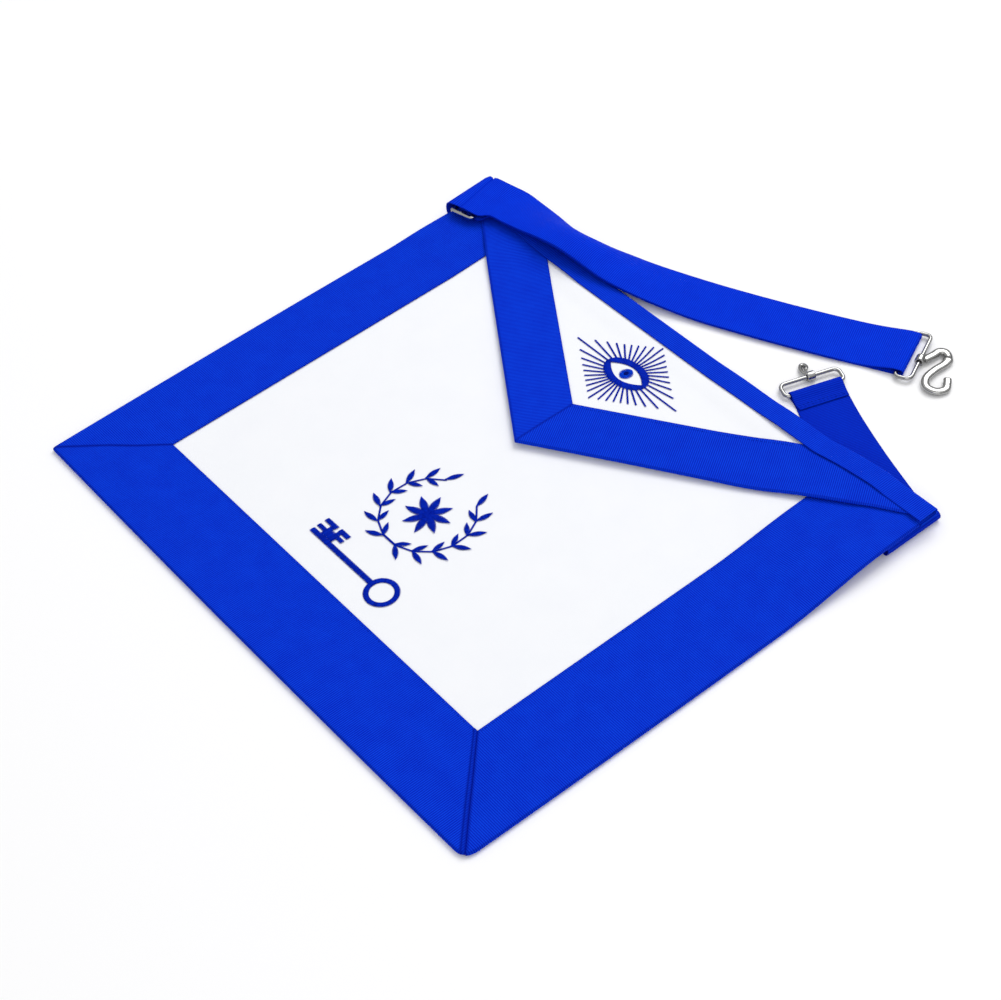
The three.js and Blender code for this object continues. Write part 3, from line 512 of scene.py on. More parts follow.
def panel_under(x, y):
    """Underside of the body panel, which lies on the ribbons' turned strips at its edges."""
    side = eased(abs(x), HALF_WIDE - RIM_OUT, HALF_WIDE - RIM_IN)
    foot = eased(-y, HALF_HIGH - RIM_OUT, HALF_HIGH - RIM_IN)
    waist = eased(y, HALF_HIGH - BAND_OUT, HALF_HIGH - BAND_IN)
    return underlay(x, y) + LAYER_RISE * max(side, foot, waist)


flap_tip = Vector((FLAP_ASIDE, HALF_HIGH - FLAP_DROP, 0))
flap_left = Vector((-side_at(HALF_HIGH), HALF_HIGH - FLAP_LEFT_SHOULDER, 0))
flap_right = Vector((side_at(HALF_HIGH), HALF_HIGH - FLAP_RIGHT_SHOULDER, 0))
FLAP_LEFT_ALONG = (flap_left - flap_tip).normalized()
FLAP_RIGHT_ALONG = (flap_right - flap_tip).normalized()


def edge_gap(point, along, x, y):
    """Distance of a place from a line, to the right of its direction."""
    return along.y * (x - point.x) - along.x * (y - point.y)


def flap_under(x, y):
    """Underside of the flap, which lies on the borders and springs up a little at its tip."""
    on_right = eased(x, INNER_RIGHT - STEP, INNER_RIGHT)
    on_left = eased(-x, -INNER_LEFT - STEP, -INNER_LEFT)
    from_edge = min(edge_gap(flap_tip, FLAP_LEFT_ALONG, x, y), -edge_gap(flap_tip, FLAP_RIGHT_ALONG, x, y))
    free = (1 - eased(from_edge, 0, SPRING_IN)) * (1 - eased(y, SPRING_FROM, HALF_HIGH - BAND_IN))
    return (panel_under(x, y) + PANEL_WALL + LAYER_GAP + max(on_left, on_right) * LAYER_RISE
            + FLAP_SPRING * free)


PANEL_REACH = HALF_WIDE - RIM_OUT


def corner_drop(x):
    """How much lower the layers over the flap lie past the end of its panel."""
    return (PANEL_WALL + LAYER_GAP) * eased(abs(x), PANEL_REACH, HALF_WIDE - RIM_IN)


def field_top(x, y):
    return panel_under(x, y) + PANEL_WALL


def flap_top(x, y):
    return flap_under(x, y) + PANEL_WALL


def band_under(x, y):
    on_ribbon = max(eased(x, *BAND_STEP_RIGHT), eased(-x, *BAND_STEP_LEFT))
    return flap_top(x, y) + LAYER_GAP + on_ribbon * LAYER_RISE - corner_drop(x)


# White body and flap

BODY_GRID = (136, 116)
FLAP_GRID = (110, 46)
CORNER_PULL = 0.995
BODY_INSET = 2.1
FLAP_INSET = 3.0
HEAD_INSET = 2.9


def body_panel():
    def place(u, v):
        y = -HALF_HIGH + BODY_INSET + v * (BODY_HIGH - BODY_INSET - HEAD_INSET)
        bow = 4 * SIDE_BOW * v * (1 - v)
        x = (2 * u - 1) * (side_at(y) - BODY_INSET + bow)
        at_corner = v in (0.0, 1.0) and abs(2 * u - 1) > 0.99
        reach = CORNER_PULL if at_corner else 1
        return Vector((x * reach, y * reach, panel_under(x, y) + PANEL_WALL / 2)), (x, y), CLEAR_OF_DARK_LINES
    bm = laid_grid(even(BODY_GRID[0]), even(BODY_GRID[1]), place)
    piece = cloth_piece("body_panel_cloth", bm, cloth, "body_panel", PANEL_WALL)


def flap_panel():
    low = flap_tip.y
    high = HALF_HIGH - HEAD_INSET

    def place(u, v):
        x = -PANEL_REACH + u * 2 * PANEL_REACH
        y = low + v * (high - low)
        return Vector((x, y, flap_under(x, y) + PANEL_WALL / 2)), (x, y), CLEAR_OF_DARK_LINES
    bm = laid_grid(even(FLAP_GRID[0]), even(FLAP_GRID[1]), place)
    for along, side in ((FLAP_LEFT_ALONG, -1), (FLAP_RIGHT_ALONG, 1)):
        outward = left_of(along) * -side
        cut(bm, flap_tip - outward * FLAP_INSET, outward)
    piece = cloth_piece("flap_panel_cloth", bm, cloth, "flap_panel", PANEL_WALL)


# Ribbons folded round an edge

def bowed(start, end, count):
    """Points of a side of the body, bulging outwards a little."""
    along = (end - start).normalized()
    middle = (start + end) / 2 + Vector((along.y, -along.x, 0)) * 2 * SIDE_BOW
    return curved(start, middle, end, count)


def curved(start, middle, end, count):
    points = []
    for step in range(count + 1):
        t = step / count
        points.append(start * (1 - t) ** 2 + middle * 2 * t * (1 - t) + end * t * t)
    return points


def along_path(points, share):
    """Point at a share of a polyline's length."""
    lengths = [(b - a).length for a, b in zip(points, points[1:])]
    left = share * sum(lengths)
    for start, end, length in zip(points, points[1:], lengths):
        if left <= length:
            return start.lerp(end, left / length)
        left -= length
    return points[-1].copy()


waist_left = Vector((-side_at(HALF_HIGH), HALF_HIGH, 0))
waist_right = Vector((side_at(HALF_HIGH), HALF_HIGH, 0))
foot_left = Vector((-side_at(-HALF_HIGH), -HALF_HIGH, 0))
foot_right = Vector((side_at(-HALF_HIGH), -HALF_HIGH, 0))
field_left = Vector((INNER_LEFT, INNER_BOTTOM, 0))
field_right = Vector((INNER_RIGHT, INNER_BOTTOM, 0))


def rounded_corner(before, corner, after, reach):
    start = corner + (before - corner).normalized() * reach
    end = corner + (after - corner).normalized() * reach
    return curved(start, corner, end, 16)


left_corner = rounded_corner(waist_left, foot_left, foot_right, LEFT_CORNER_ROUND)
right_corner = rounded_corner(foot_left, foot_right, waist_right, RIGHT_CORNER_ROUND)
OUTER_EDGES = {
    "left": (bowed(waist_left, left_corner[0], 40) + left_corner[1:9])[::-1],
    "bottom": left_corner[8:] + bowed(left_corner[-1], right_corner[0], 40)[1:] + right_corner[1:9],
    "right": right_corner[8:] + bowed(right_corner[-1], waist_right, 40)[1:],
}
FLARE = BODY_FLARE / 2
INNER_EDGES = {
    "left": [field_left, Vector((INNER_LEFT - FLARE, HALF_HIGH, 0))],
    "bottom": [field_left, field_right],
    "right": [field_right, Vector((INNER_RIGHT + FLARE, HALF_HIGH, 0))],
}


def border(side, wide, along):
    """Ribbon on one side of the body: front leg, rolled edge and the leg turned to the back."""
    roll = (LAYER_RISE + PANEL_WALL + LAYER_GAP) / 2
    fold_in = RIBBON_WALL / 2 + roll
    front = wide - fold_in
    around = math.pi * roll
    back = BACK_TURN - fold_in
    total = front + around + back
    outer = OUTER_EDGES[side]
    inner = INNER_EDGES[side]
    outer_long = (outer[-1] - outer[0]).length
    inner_long = (inner[-1] - inner[0]).length
    mitres = (0, 1) if side == "bottom" else (0,)

    def place(u, length):
        edge = along_path(outer, u)
        inside = along_path(inner, u)
        angle = 0.0
        if length < front:
            depth = wide - length
        elif length < front + around:
            angle = (length - front) / roll
            depth = fold_in - roll * math.sin(angle)
        else:
            angle = math.pi
            depth = fold_in + length - front - around
        spot = edge.lerp(inside, depth / wide)
        local_long = outer_long + (inner_long - outer_long) * depth / wide
        from_mitre = min(abs(u - end) * local_long for end in mitres)
        if from_mitre < 1e-6:
            spot += along * (MITRE_LAP if u > 0.5 else -MITRE_LAP)
        high = panel_under(spot.x, spot.y) + PANEL_WALL + LAYER_GAP + RIBBON_WALL / 2
        low = underlay(spot.x, spot.y) + RIBBON_WALL / 2
        spot.z = high + (low - high) * (1 - math.cos(angle)) / 2
        # Darker towards the ribbon's edges, with painted shade along the crease a quarter way round the roll
        # and in the mitre gap
        edge_and_shade_distance = min(length, abs(length - front - around / 4), total - length,
                        MITRE_SHADE * from_mitre - MITRE_DARK)
        if side == "bottom" and u > 0.5:
            spot.z += RIDGE_HIGH * (1 - eased(from_mitre, RIDGE_WIDE - 0.4, RIDGE_WIDE + 0.3))
            # Painted shade where the raised ridge beside the mitre steps down
            edge_and_shade_distance = min(edge_and_shade_distance, MITRE_SHADE * abs(from_mitre - RIDGE_WIDE) - RIDGE_DARK)
        return spot, (spot.dot(along), length), edge_and_shade_distance
    rows = spaced((0, 0.6, front - 1, front, front + around, total), (2, 24, 2, 8, 5))
    if side == "bottom":
        columns = spaced((0, 0.007, 0.985, 1), (3, 130, 12))
    else:
        columns = spaced((0, 0.008, 1), (3, 120))
    bm = laid_grid(columns, rows, place)
    if side != "bottom":
        trim_waist_end(bm)
    return bm


def trim_waist_end(bm):
    """Cuts a side ribbon off at the waist, and its back leg further down, clear of the waist band."""
    cut(bm, TO_WAIST * (HALF_HIGH - HEAD_INSET), TO_WAIST)
    head = HALF_HIGH - BAND_BACK - 1
    cut(bm, TO_WAIST * head, TO_WAIST, clear=False)
    hidden = [face for face in bm.faces if face.calc_center_median().y > head and turned_under(face)]
    bmesh.ops.delete(bm, geom=hidden, context="FACES")


def turned_under(face):
    middle = face.calc_center_median()
    return middle.z < panel_under(middle.x, middle.y) + PANEL_WALL + LAYER_GAP


def borders():
    up_left = (INNER_EDGES["left"][1] - field_left).normalized()
    up_right = (INNER_EDGES["right"][1] - field_right).normalized()
    rows = (
        ("left", BORDER_LEFT, up_left, 0.0695, 0.345),
        ("bottom", BORDER_BOTTOM, TO_RIGHT, 0.0755, 0.4),
        ("right", BORDER_RIGHT, up_right, 0.0795, 0.345),
    )
    for side, wide, along, cut_wide, cut_long in rows:
        bm = border(side, wide, along)
        name = "border_" + side
        piece = cloth_piece(name + "_ribbon", bm, ribbon, name, RIBBON_SHOWN)


FLAP_BACK = 1.3
FLAP_REACH = {-1: 262, 1: 268}
BOW_RUN = 170
SAG_RUN = (120, 235)
FLAP_OVERHANG = 0.9


def flap_border(side, wide, along):
    """Ribbon on one free edge of the flap, its edge rolled under."""
    roll = (PANEL_WALL + LAYER_GAP) / 2
    fold_in = RIBBON_WALL / 2 + roll
    front = wide - fold_in
    around = math.pi * roll
    total = front + around + FLAP_BACK
    outward = left_of(along) * -side
    meet = flap_inner_tip()
    skew = (meet - flap_tip).dot(along)
    reach = FLAP_REACH[side]

    def place(u, length):
        outer = flap_tip + along * u * reach
        inner = meet + along * u * (reach - skew)
        if side < 0:
            outer += outward * FLAP_BOW_OUTER * share_of(u * reach, 0, BOW_RUN)
            inner += outward * FLAP_BOW_INNER * share_of(u * reach, 0, BOW_RUN)
        else:
            outer += outward * FLAP_SAG * eased(u * reach, *SAG_RUN)
        if length < front:
            angle = 0.0
            depth = wide - length
        else:
            angle = min((length - front) / roll, math.pi)
            depth = fold_in - roll * math.sin(angle) + max(length - front - around, 0)
        spot = outer.lerp(inner, depth / wide)
        if u < 0.001:
            spot -= along * MITRE_LAP
        rise = max(PANEL_WALL + LAYER_GAP - corner_drop(spot.x), RIBBON_SHOWN + 0.02)
        low = flap_under(spot.x, spot.y) + RIBBON_WALL / 2
        spot.z = low + rise * (1 + math.cos(angle)) / 2
        # Darker towards the ribbon's inner edge, with painted shade where the edge starts to roll under and
        # at the tip's mitre
        edge_and_shade_distance = min(length, abs(length - front), MITRE_SHADE * u * reach - FLAP_MITRE_DARK)
        return spot, (spot.dot(along), length), edge_and_shade_distance
    bm = laid_grid(spaced((0, 0.01, 1), (3, 104)),
                   spaced((0, 0.6, front - 1, front, front + around, total), (2, 16, 2, 6, 2)), place)
    cut(bm, TO_WAIST * (HALF_HIGH - HEAD_INSET), TO_WAIST)
    cut(bm, TO_RIGHT * side * (HALF_WIDE + FLAP_OVERHANG), TO_RIGHT * side)
    return bm


def flap_inner_tip():
    """Place where the inner edges of the flap's two ribbons meet."""
    left_start = flap_tip - left_of(FLAP_LEFT_ALONG) * FLAP_BORDER_LEFT
    right_start = flap_tip + left_of(FLAP_RIGHT_ALONG) * FLAP_BORDER_RIGHT
    d, e = FLAP_LEFT_ALONG, FLAP_RIGHT_ALONG
    gap = right_start - left_start
    share = (gap.x * e.y - gap.y * e.x) / (d.x * e.y - d.y * e.x)
    return left_start + d * share


def flap_borders():
    rows = (
        ("left", -1, FLAP_BORDER_LEFT, FLAP_LEFT_ALONG),
        ("right", 1, FLAP_BORDER_RIGHT, FLAP_RIGHT_ALONG),
    )
    for word, side, wide, along in rows:
        bm = flap_border(side, wide, along)
        name = "flap_border_" + word
        piece = cloth_piece(name + "_ribbon", bm, ribbon, name, RIBBON_SHOWN)


BAND_TURN = 1.4
BAND_END = 0.3


def waist_band():
    """Ribbon folded over the waist edge, round the body and the flap."""
    corner = BAND_TURN
    quarter = math.pi * corner / 2
    front = BAND_FRONT - RIBBON_WALL / 2 - corner
    back = BAND_BACK - RIBBON_WALL / 2 - corner
    turn_y = HALF_HIGH - RIBBON_WALL / 2 - corner

    def place(u, part):
        x = (2 * u - 1) * (side_at(HALF_HIGH) - BAND_END)
        upright = band_under(x, turn_y) - underlay(x, turn_y) - 2 * corner
        parts = (front, quarter, upright, quarter, back)
        total = sum(parts)
        length = sum(long * share_of(part, index, index + 1) for index, long in enumerate(parts))
        if length < front:
            y = turn_y - front + length
            z = band_under(x, y) + RIBBON_WALL / 2
        elif length < front + quarter:
            angle = (length - front) / corner
            y = turn_y + corner * math.sin(angle)
            z = band_under(x, turn_y) + RIBBON_WALL / 2 - corner * (1 - math.cos(angle))
        elif length < front + quarter + upright:
            y = turn_y + corner
            z = band_under(x, turn_y) + RIBBON_WALL / 2 - corner - (length - front - quarter)
        elif length < total - back:
            angle = (total - back - length) / corner
            y = turn_y + corner * math.sin(angle)
            z = underlay(x, turn_y) + RIBBON_WALL / 2 + corner * (1 - math.cos(angle))
        else:
            y = turn_y - (length - total + back)
            z = underlay(x, y) + RIBBON_WALL / 2
        edge_and_shade_distance = min(length, total - length, 12 * (side_at(HALF_HIGH) - abs(x)) + BAND_END)
        return Vector((x, y, z)), (x, length), edge_and_shade_distance
    bm = laid_grid(even(150), spaced((0, 0.05, 1, 2, 3, 4, 5), (1, 8, 4, 2, 4, 5)), place)
    piece = cloth_piece("waist_band_ribbon", bm, ribbon, "waist_band", RIBBON_SHOWN)


# Straps: stations hold the middle, the direction across and the upward normal of the ribbon

def station(middle, across, up, wide=STRAP_WIDE, crown=0.0):
    return {"middle": middle, "across": across, "up": up, "wide": wide, "crown": crown}


TURN_STEPS = 10
STATION_GAP = 3.0
STRAP_STRIPS = 14


def half_turn(middle, across, outward, radius, wide):
    """Stations round a loop, from above its middle to below it."""
    found = []
    for step in range(TURN_STEPS + 1):
        angle = math.pi / 2 - math.pi * step / TURN_STEPS
        up = UP * math.sin(angle) + outward * math.cos(angle)
        found.append(station(middle + up * radius, across, up, wide))
    return found


def spline(values, index, t):
    """Smooth curve through values, between one and the next."""
    a, b = values[max(index - 1, 0)], values[index]
    c, d = values[index + 1], values[min(index + 2, len(values) - 1)]
    square = a * 2 - b * 5 + c * 4 - d
    cube = b * 3 - a - c * 3 + d
    return (b * 2 + (c - a) * t + square * t * t + cube * t ** 3) * 0.5


def dense_stations(stations, longest):
    """Stations close together along the smooth curve through the given ones."""
    found = []
    for index in range(len(stations) - 1):
        gap = (stations[index + 1]["middle"] - stations[index]["middle"]).length
        count = max(1, round(gap / longest))
        for step in range(count):
            found.append({key: spline([s[key] for s in stations], index, step / count)
                          for key in ("middle", "across", "up", "wide", "crown")})
    found.append(stations[-1])
    return found


def strap_grid(stations):
    """Grid along the stations, crowned across its width, and the ribbon's length."""
    lengths = [0.0]
    for before, after in zip(stations, stations[1:]):
        lengths.append(lengths[-1] + (after["middle"] - before["middle"]).length)
    last = len(stations) - 1

    def place(index, v):
        spot = stations[index]
        side = v - 0.5
        rise = spot["crown"] * (1 - 4 * side * side)
        point = spot["middle"] + spot["across"].normalized() * side * spot["wide"]
        point += spot["up"].normalized() * rise
        edge_and_shade_distance = spot["wide"] * min(v, 1 - v)
        return point, (lengths[index], v * spot["wide"]), edge_and_shade_distance
    return laid_grid(range(last + 1), even(STRAP_STRIPS), place), lengths[-1]


# Along the belt as a share of its reach; aside, height and crown as shares of its width; lean in degrees
BELT_TABLE = (
    (0.073, 0.04, 0.270, 7.5, 0.02),
    (0.112, -0.03, 0.252, 11.0, 0.05),
    (0.160, -0.12, 0.240, 16.0, 0.10),
    (0.208, -0.22, 0.240, 22.0, 0.15),
    (0.256, -0.31, 0.245, 24.0, 0.17),
    (0.295, -0.35, 0.215, 20.0, 0.17),
    (0.333, -0.38, 0.172, 15.0, 0.15),
    (0.371, -0.41, 0.140, 11.0, 0.11),
    (0.416, -0.44, 0.126, 9.0, 0.07),
    (0.480, -0.45, 0.103, 5.8, 0.03),
    (0.576, -0.42, 0.070, 2.1, 0.02),
    (0.672, -0.36, 0.066, 1.6, 0.01),
    (0.768, -0.28, 0.062, 1.2, 0.01),
    (0.864, -0.18, 0.057, 0.7, 0.00),
    (0.930, -0.09, 0.051, 0.0, 0.00),
)
belt_frame = heading(BELT_HEADING)
belt_side = left_of(belt_frame)
hook_along = heading(HOOK_HEADING)
hook_across = left_of(hook_along)
LOOP_RADIUS = WIRE_THICK / 2 + WIRE_GAP + RIBBON_WALL / 2
BAR_HIGH = RIBBON_WALL / 2 + LOOP_RADIUS
hook_bar = BELT_START + belt_frame * BELT_REACH - belt_side * 0.02 * STRAP_WIDE


def belt_stations():
    """Stations of the belt's upper run, leaning as it settles on its edge."""
    middles = [BELT_START + belt_frame * along * BELT_REACH + belt_side * aside * STRAP_WIDE
               for along, aside, _, _, _ in BELT_TABLE]
    found = []
    for index, (_, _, lift, tilt, crown) in enumerate(BELT_TABLE):
        before = middles[max(index - 1, 0)]
        after = middles[index + 1] if index + 1 < len(middles) else hook_bar
        ahead = (after - before).normalized()
        lean = math.radians(tilt)
        across = left_of(ahead) * math.cos(lean) + DOWN * math.sin(lean)
        up = ahead.cross(across).normalized()
        wide = STRAP_WIDE * (1 - 8 / 3 * crown * crown)
        found.append(station(middles[index] + UP * lift * STRAP_WIDE, across, up, wide, crown * STRAP_WIDE))
    return found


PILE_TOP = band_under(BELT_START.x, HALF_HIGH - BAND_FRONT / 2) + RIBBON_WALL
SLIDER_LOW = PILE_TOP + LAYER_GAP + LAYER_RISE
SLIDER_TOP = SLIDER_LOW + SLIDER_THICK
OVER_RUN = SLIDER_TOP + LAYER_GAP + LAYER_RISE + RIBBON_WALL / 2
# How far the fold stands out, and which way it faces there in degrees above the ground
FOLD_TABLE = ((1.5, -75), (2.8, -35), (3.0, 5), (2.1, 40), (-0.1, 76))
# Place along the slider, height over the run and width, where the belt dips into the slot
GROOVE_TABLE = ((-4.5, 0.2, 37.2), (-2.4, -0.1, 37.0), (-1.5, -1.6, 36.2), (-0.6, 0.2, 37.6),
                (1.5, 0.6, 38.1))
FOLD_PLACE = -8.7
FOLD_SKEW = -9.0
FOLD_WIDE = 36.0
FOLD_ASIDE = -1.0


def on_slider(u, z, up, wide=STRAP_WIDE):
    return station(BELT_START + slider_along * u + UP * z, slider_across, up, wide)


def fold_stations():
    skew = Matrix.Rotation(math.radians(FOLD_SKEW), 3, "Z")
    across = skew @ slider_across
    outward = skew @ -slider_along
    half = (OVER_RUN - RIBBON_WALL / 2) / 2
    start = BELT_START + slider_along * FOLD_PLACE + slider_across * FOLD_ASIDE + UP * RIBBON_WALL / 2
    found = []
    for out, degrees in FOLD_TABLE:
        bend = math.radians(degrees)
        middle = start + outward * out + UP * half * (1 + math.sin(bend))
        found.append(station(middle, across, outward * math.cos(bend) + UP * math.sin(bend), FOLD_WIDE))
    return found


def bar_wrap():
    bar_edge = SLIDER_PLACE + SLIDER_SLIP - SLIDER_STRIP / 2 + 0.5
    middle = on_slider(bar_edge, SLIDER_LOW + SLIDER_THICK / 2, UP)["middle"]
    radius = SLIDER_THICK / 2 + LAYER_GAP + RIBBON_WALL / 2
    turn = half_turn(middle, slider_across, -slider_along, radius, BELT_END_WIDE)
    end = on_slider(bar_edge + SLIDER_STRIP + 1.5, middle.z + radius, UP, BELT_END_WIDE)
    return turn[::-1] + [end]


LEG_END = -2


def loop_leg(bar, along, across, u, z, up, wide):
    return station(bar + along * u + UP * z, across, up, wide)


def long_strap():
    upper = belt_stations()
    lower = [station(s["middle"] - s["up"] * RUN_GAP, s["across"], -s["up"], s["wide"], -s["crown"])
             for s in reversed(upper)]
    turn_middle = hook_bar + hook_along * HOOK_SETBACK + UP * BAR_HIGH
    reach = SLIDER_PLACE + SLIDER_LONG / 2 + 1

    def leg(z, up):
        return loop_leg(hook_bar, hook_along, hook_across, LEG_END, z, up, BELT_END_WIDE)
    stations = [on_slider(BELT_SEWN_LEG, RIBBON_WALL / 2, DOWN), on_slider(BELT_TURN, RIBBON_WALL / 2, DOWN)]
    stations += fold_stations()
    stations += [on_slider(u, OVER_RUN + rise, UP, wide) for u, rise, wide in GROOVE_TABLE]
    stations.append(on_slider(reach, OVER_RUN - 0.1, UP))
    stations += upper
    stations.append(leg(BAR_HIGH + LOOP_RADIUS, UP))
    stations += half_turn(turn_middle, hook_across, hook_along, LOOP_RADIUS, BELT_END_WIDE)
    stations.append(leg(BAR_HIGH - LOOP_RADIUS, DOWN))
    stations += lower
    stations.append(on_slider(reach, SLIDER_LOW - LAYER_GAP - RIBBON_WALL / 2, DOWN))
    stations += bar_wrap()
    bm, length = strap_grid(dense_stations(stations, STATION_GAP))
    piece = cloth_piece("long_strap_ribbon", bm, belt_ribbon_painted_lighter, "long_strap", RIBBON_SHOWN)


short_bar = SHORT_LOOP - short_along * (RIBBON_WALL + WIRE_GAP + WIRE_THICK / 2)


def short_strap():
    fold_middle = (SHORT_FOLD_NEAR + SHORT_FOLD_FAR) / 2
    side_fold = (SHORT_FOLD_FAR - SHORT_FOLD_NEAR).length
    outward = Vector((fold_across.y, -fold_across.x, 0))
    radius = (CORNER_RISE - LAYER_RISE) / 2
    turn_middle = fold_middle + UP * (RIBBON_WALL / 2 + radius) - outward * (radius + RIBBON_WALL / 2)
    sewn_middle = fold_middle - sewn_heading * SHORT_SEWN_LEG + UP * (RIBBON_WALL / 2 + LAYER_RISE)
    run_along = (short_bar - fold_middle).normalized()
    run_across = Vector((run_along.y, -run_along.x, 0))
    run_long = (short_bar - fold_middle).length

    def run(share):
        point = fold_middle.lerp(short_bar, share) - run_across * SHORT_BOW * math.sin(math.pi * share)
        turn = math.atan(SHORT_BOW * math.pi * math.cos(math.pi * share) / run_long)
        sideways = Matrix.Rotation(turn, 3, "Z") @ run_across
        wide = STRAP_WIDE + (SHORT_END_WIDE - STRAP_WIDE) * share
        return station(point + UP * RIBBON_WALL / 2, sideways, DOWN, wide)

    def hem(u, z, up, wide=SHORT_END_WIDE):
        return loop_leg(short_bar, short_along, short_across, u, z, up, wide)
    around = half_turn(short_bar + UP * BAR_HIGH, short_across, short_along, LOOP_RADIUS, SHORT_END_WIDE)
    stations = [station(sewn_middle, fold_across, UP, side_fold)]
    stations += half_turn(turn_middle, fold_across, outward, radius, side_fold)
    stations += [run(share) for share in (0.2, 0.35, 0.5, 0.65, 0.8)]
    stations.append(hem(-8, RIBBON_WALL / 2, DOWN))
    stations += around[::-1]
    stations += [hem(LEG_END, BAR_HIGH + LOOP_RADIUS - 0.2, UP), hem(-7, RIBBON_WALL * 1.5 + LAYER_GAP, UP),
                 hem(-HEM_LEG, RIBBON_WALL * 1.5 + LAYER_GAP, UP, HEM_WIDE)]
    bm, length = strap_grid(dense_stations(stations, STATION_GAP))
    piece = cloth_piece("short_strap_ribbon", bm, short_ribbon_painted_darker, "short_strap", RIBBON_SHOWN)


# Metal

BAR_SIDES = 20
ARC_STEPS = 8
COLLAR_SIDES = 32
CAP_STEPS = 5
ROUTE_STEPS = 6
HOOK_FLATS = (0.8, 0.88)
COLLAR_FLATS = (0.4, 0.3)
TIP_LONG = 1.2
ROOT_LONG = 0.6


def swept(bm, frames, section):
    """Skin of a bar along frames, each of which holds a middle, two directions and a size."""
    before = set(bm.verts)
    bmesh.ops.create_grid(bm, x_segments=len(frames) - 1, y_segments=BAR_SIDES, size=0.5)
    fresh = [vert for vert in bm.verts if vert not in before]
    for vert in fresh:
        middle, first, second, size = frames[round((vert.co.x + 0.5) * (len(frames) - 1))]
        a, b = section(2 * math.pi * (vert.co.y + 0.5))
        vert.co = middle + (first * a + second * b) * size
    bmesh.ops.remove_doubles(bm, verts=fresh, dist=1e-3)


def bar_section(wide, thick, across=1.0, over=1.0):
    """Oval section; powers below one flatten its sides."""
    def section(angle):
        c, s = math.cos(angle), math.sin(angle)
        x = math.copysign(abs(c) ** across, c) * wide / 2
        y = math.copysign(abs(s) ** over, s) * thick / 2
        return x, y
    return section


def place_matrix(point, degrees, pitch):
    turn = Matrix.Rotation(math.radians(degrees), 4, "Z")
    lean = Matrix.Rotation(math.radians(pitch), 4, "Y")
    return Matrix.Translation(point) @ turn @ lean


def wire_frame(name, inside, bar, degrees, body):
    """Wire bent to a rounded rectangle, its near bar in the ribbon's loop."""
    half_long = (inside + WIRE_THICK) / 2
    frames = []
    for corner, (far, side) in enumerate(((1, 1), (0, 1), (0, -1), (1, -1))):
        bend = FRAME_CORNER if far else BAR_CORNER
        centre = Vector((FRAME_DEPTH - bend if far else bend, side * (half_long - bend), 0))
        for step in range(ARC_STEPS + 1):
            out = heading(90 * (corner + step / ARC_STEPS))
            frames.append((centre + out * bend, out, UP, 1))
    frames.append(frames[0])
    bm = bmesh.new()
    swept(bm, frames, bar_section(WIRE_THICK, WIRE_THICK))
    pitch = -math.degrees(math.asin((COLLAR_HIGH - BAR_HIGH) / FRAME_DEPTH))
    bmesh.ops.transform(bm, matrix=place_matrix(bar + UP * BAR_HIGH, degrees, pitch), verts=bm.verts)
    bmesh.ops.recalc_face_normals(bm, faces=bm.faces)
    finish_piece(name, bm, [nickel], body, name.replace("_wire", ""))


COLLAR_HIGH = WIRE_THICK / 2 + WIRE_GAP + COLLAR_WALL + 0.05


def collar(bm):
    """Round collar about the bar, with softened ends."""
    bore = WIRE_THICK / 2 + WIRE_GAP
    middle = bore + COLLAR_WALL / 2
    frames = []
    for step in range(COLLAR_SIDES + 1):
        angle = 2 * math.pi * step / COLLAR_SIDES
        out = Vector((math.cos(angle), 0, math.sin(angle)))
        frames.append((out * middle, out, Vector((0, 1, 0)), 1))
    swept(bm, frames, bar_section(COLLAR_WALL, COLLAR_LONG, *COLLAR_FLATS))


def route_frames(route, reach, knuckle):
    """Frames along a route in its own plane, with rounded ends and a knuckle at a share of it."""
    points = [Vector((out * reach, aside * reach, 0)) for out, aside in route]
    dense = []
    for index in range(len(points) - 1):
        for step in range(ROUTE_STEPS):
            dense.append(spline(points, index, step / ROUTE_STEPS))
    dense.append(points[-1])
    frames = []
    last = len(dense) - 1
    for index, point in enumerate(dense):
        ahead = (dense[min(index + 1, last)] - dense[max(index - 1, 0)]).normalized()
        size = 1 + KNUCKLE_SWELL * math.exp(-((index / last - knuckle) / KNUCKLE_SPREAD) ** 2)
        frames.append((point, left_of(ahead), UP, size))
    first, final = frames[0], frames[-1]
    start_back = (dense[0] - dense[1]).normalized()
    end_ahead = (dense[-1] - dense[-2]).normalized()
    cap = []
    for step in range(1, CAP_STEPS + 1):
        angle = math.pi / 2 * step / CAP_STEPS
        cap.append((math.sin(angle), max(math.cos(angle), 0.0)))
    ends = [(final[0] + end_ahead * far * final[3] * TIP_LONG, final[1], UP, final[3] * size)
            for far, size in cap]
    starts = [(first[0] + start_back * far * ROOT_LONG, first[1], UP, first[3] * size) for far, size in cap]
    return starts[::-1] + frames + ends


# Out from the collar and aside, as shares of the hook's reach
SNAKE_ROUTE = ((0.095, 0.05), (0.25, 0.30), (0.34, 0.48), (0.50, 0.52), (0.63, 0.36), (0.61, 0.12),
               (0.45, -0.20), (0.34, -0.58), (0.45, -0.85), (0.70, -0.90), (0.90, -0.74), (0.88, -0.52),
               (0.84, -0.38))
EYE_ROUTE = ((0.15, 0.10), (0.38, 0.20), (0.68, 0.18), (0.90, 0.06), (0.90, -0.09), (0.70, -0.14),
             (0.56, -0.05))
NO_KNUCKLE = -1.0


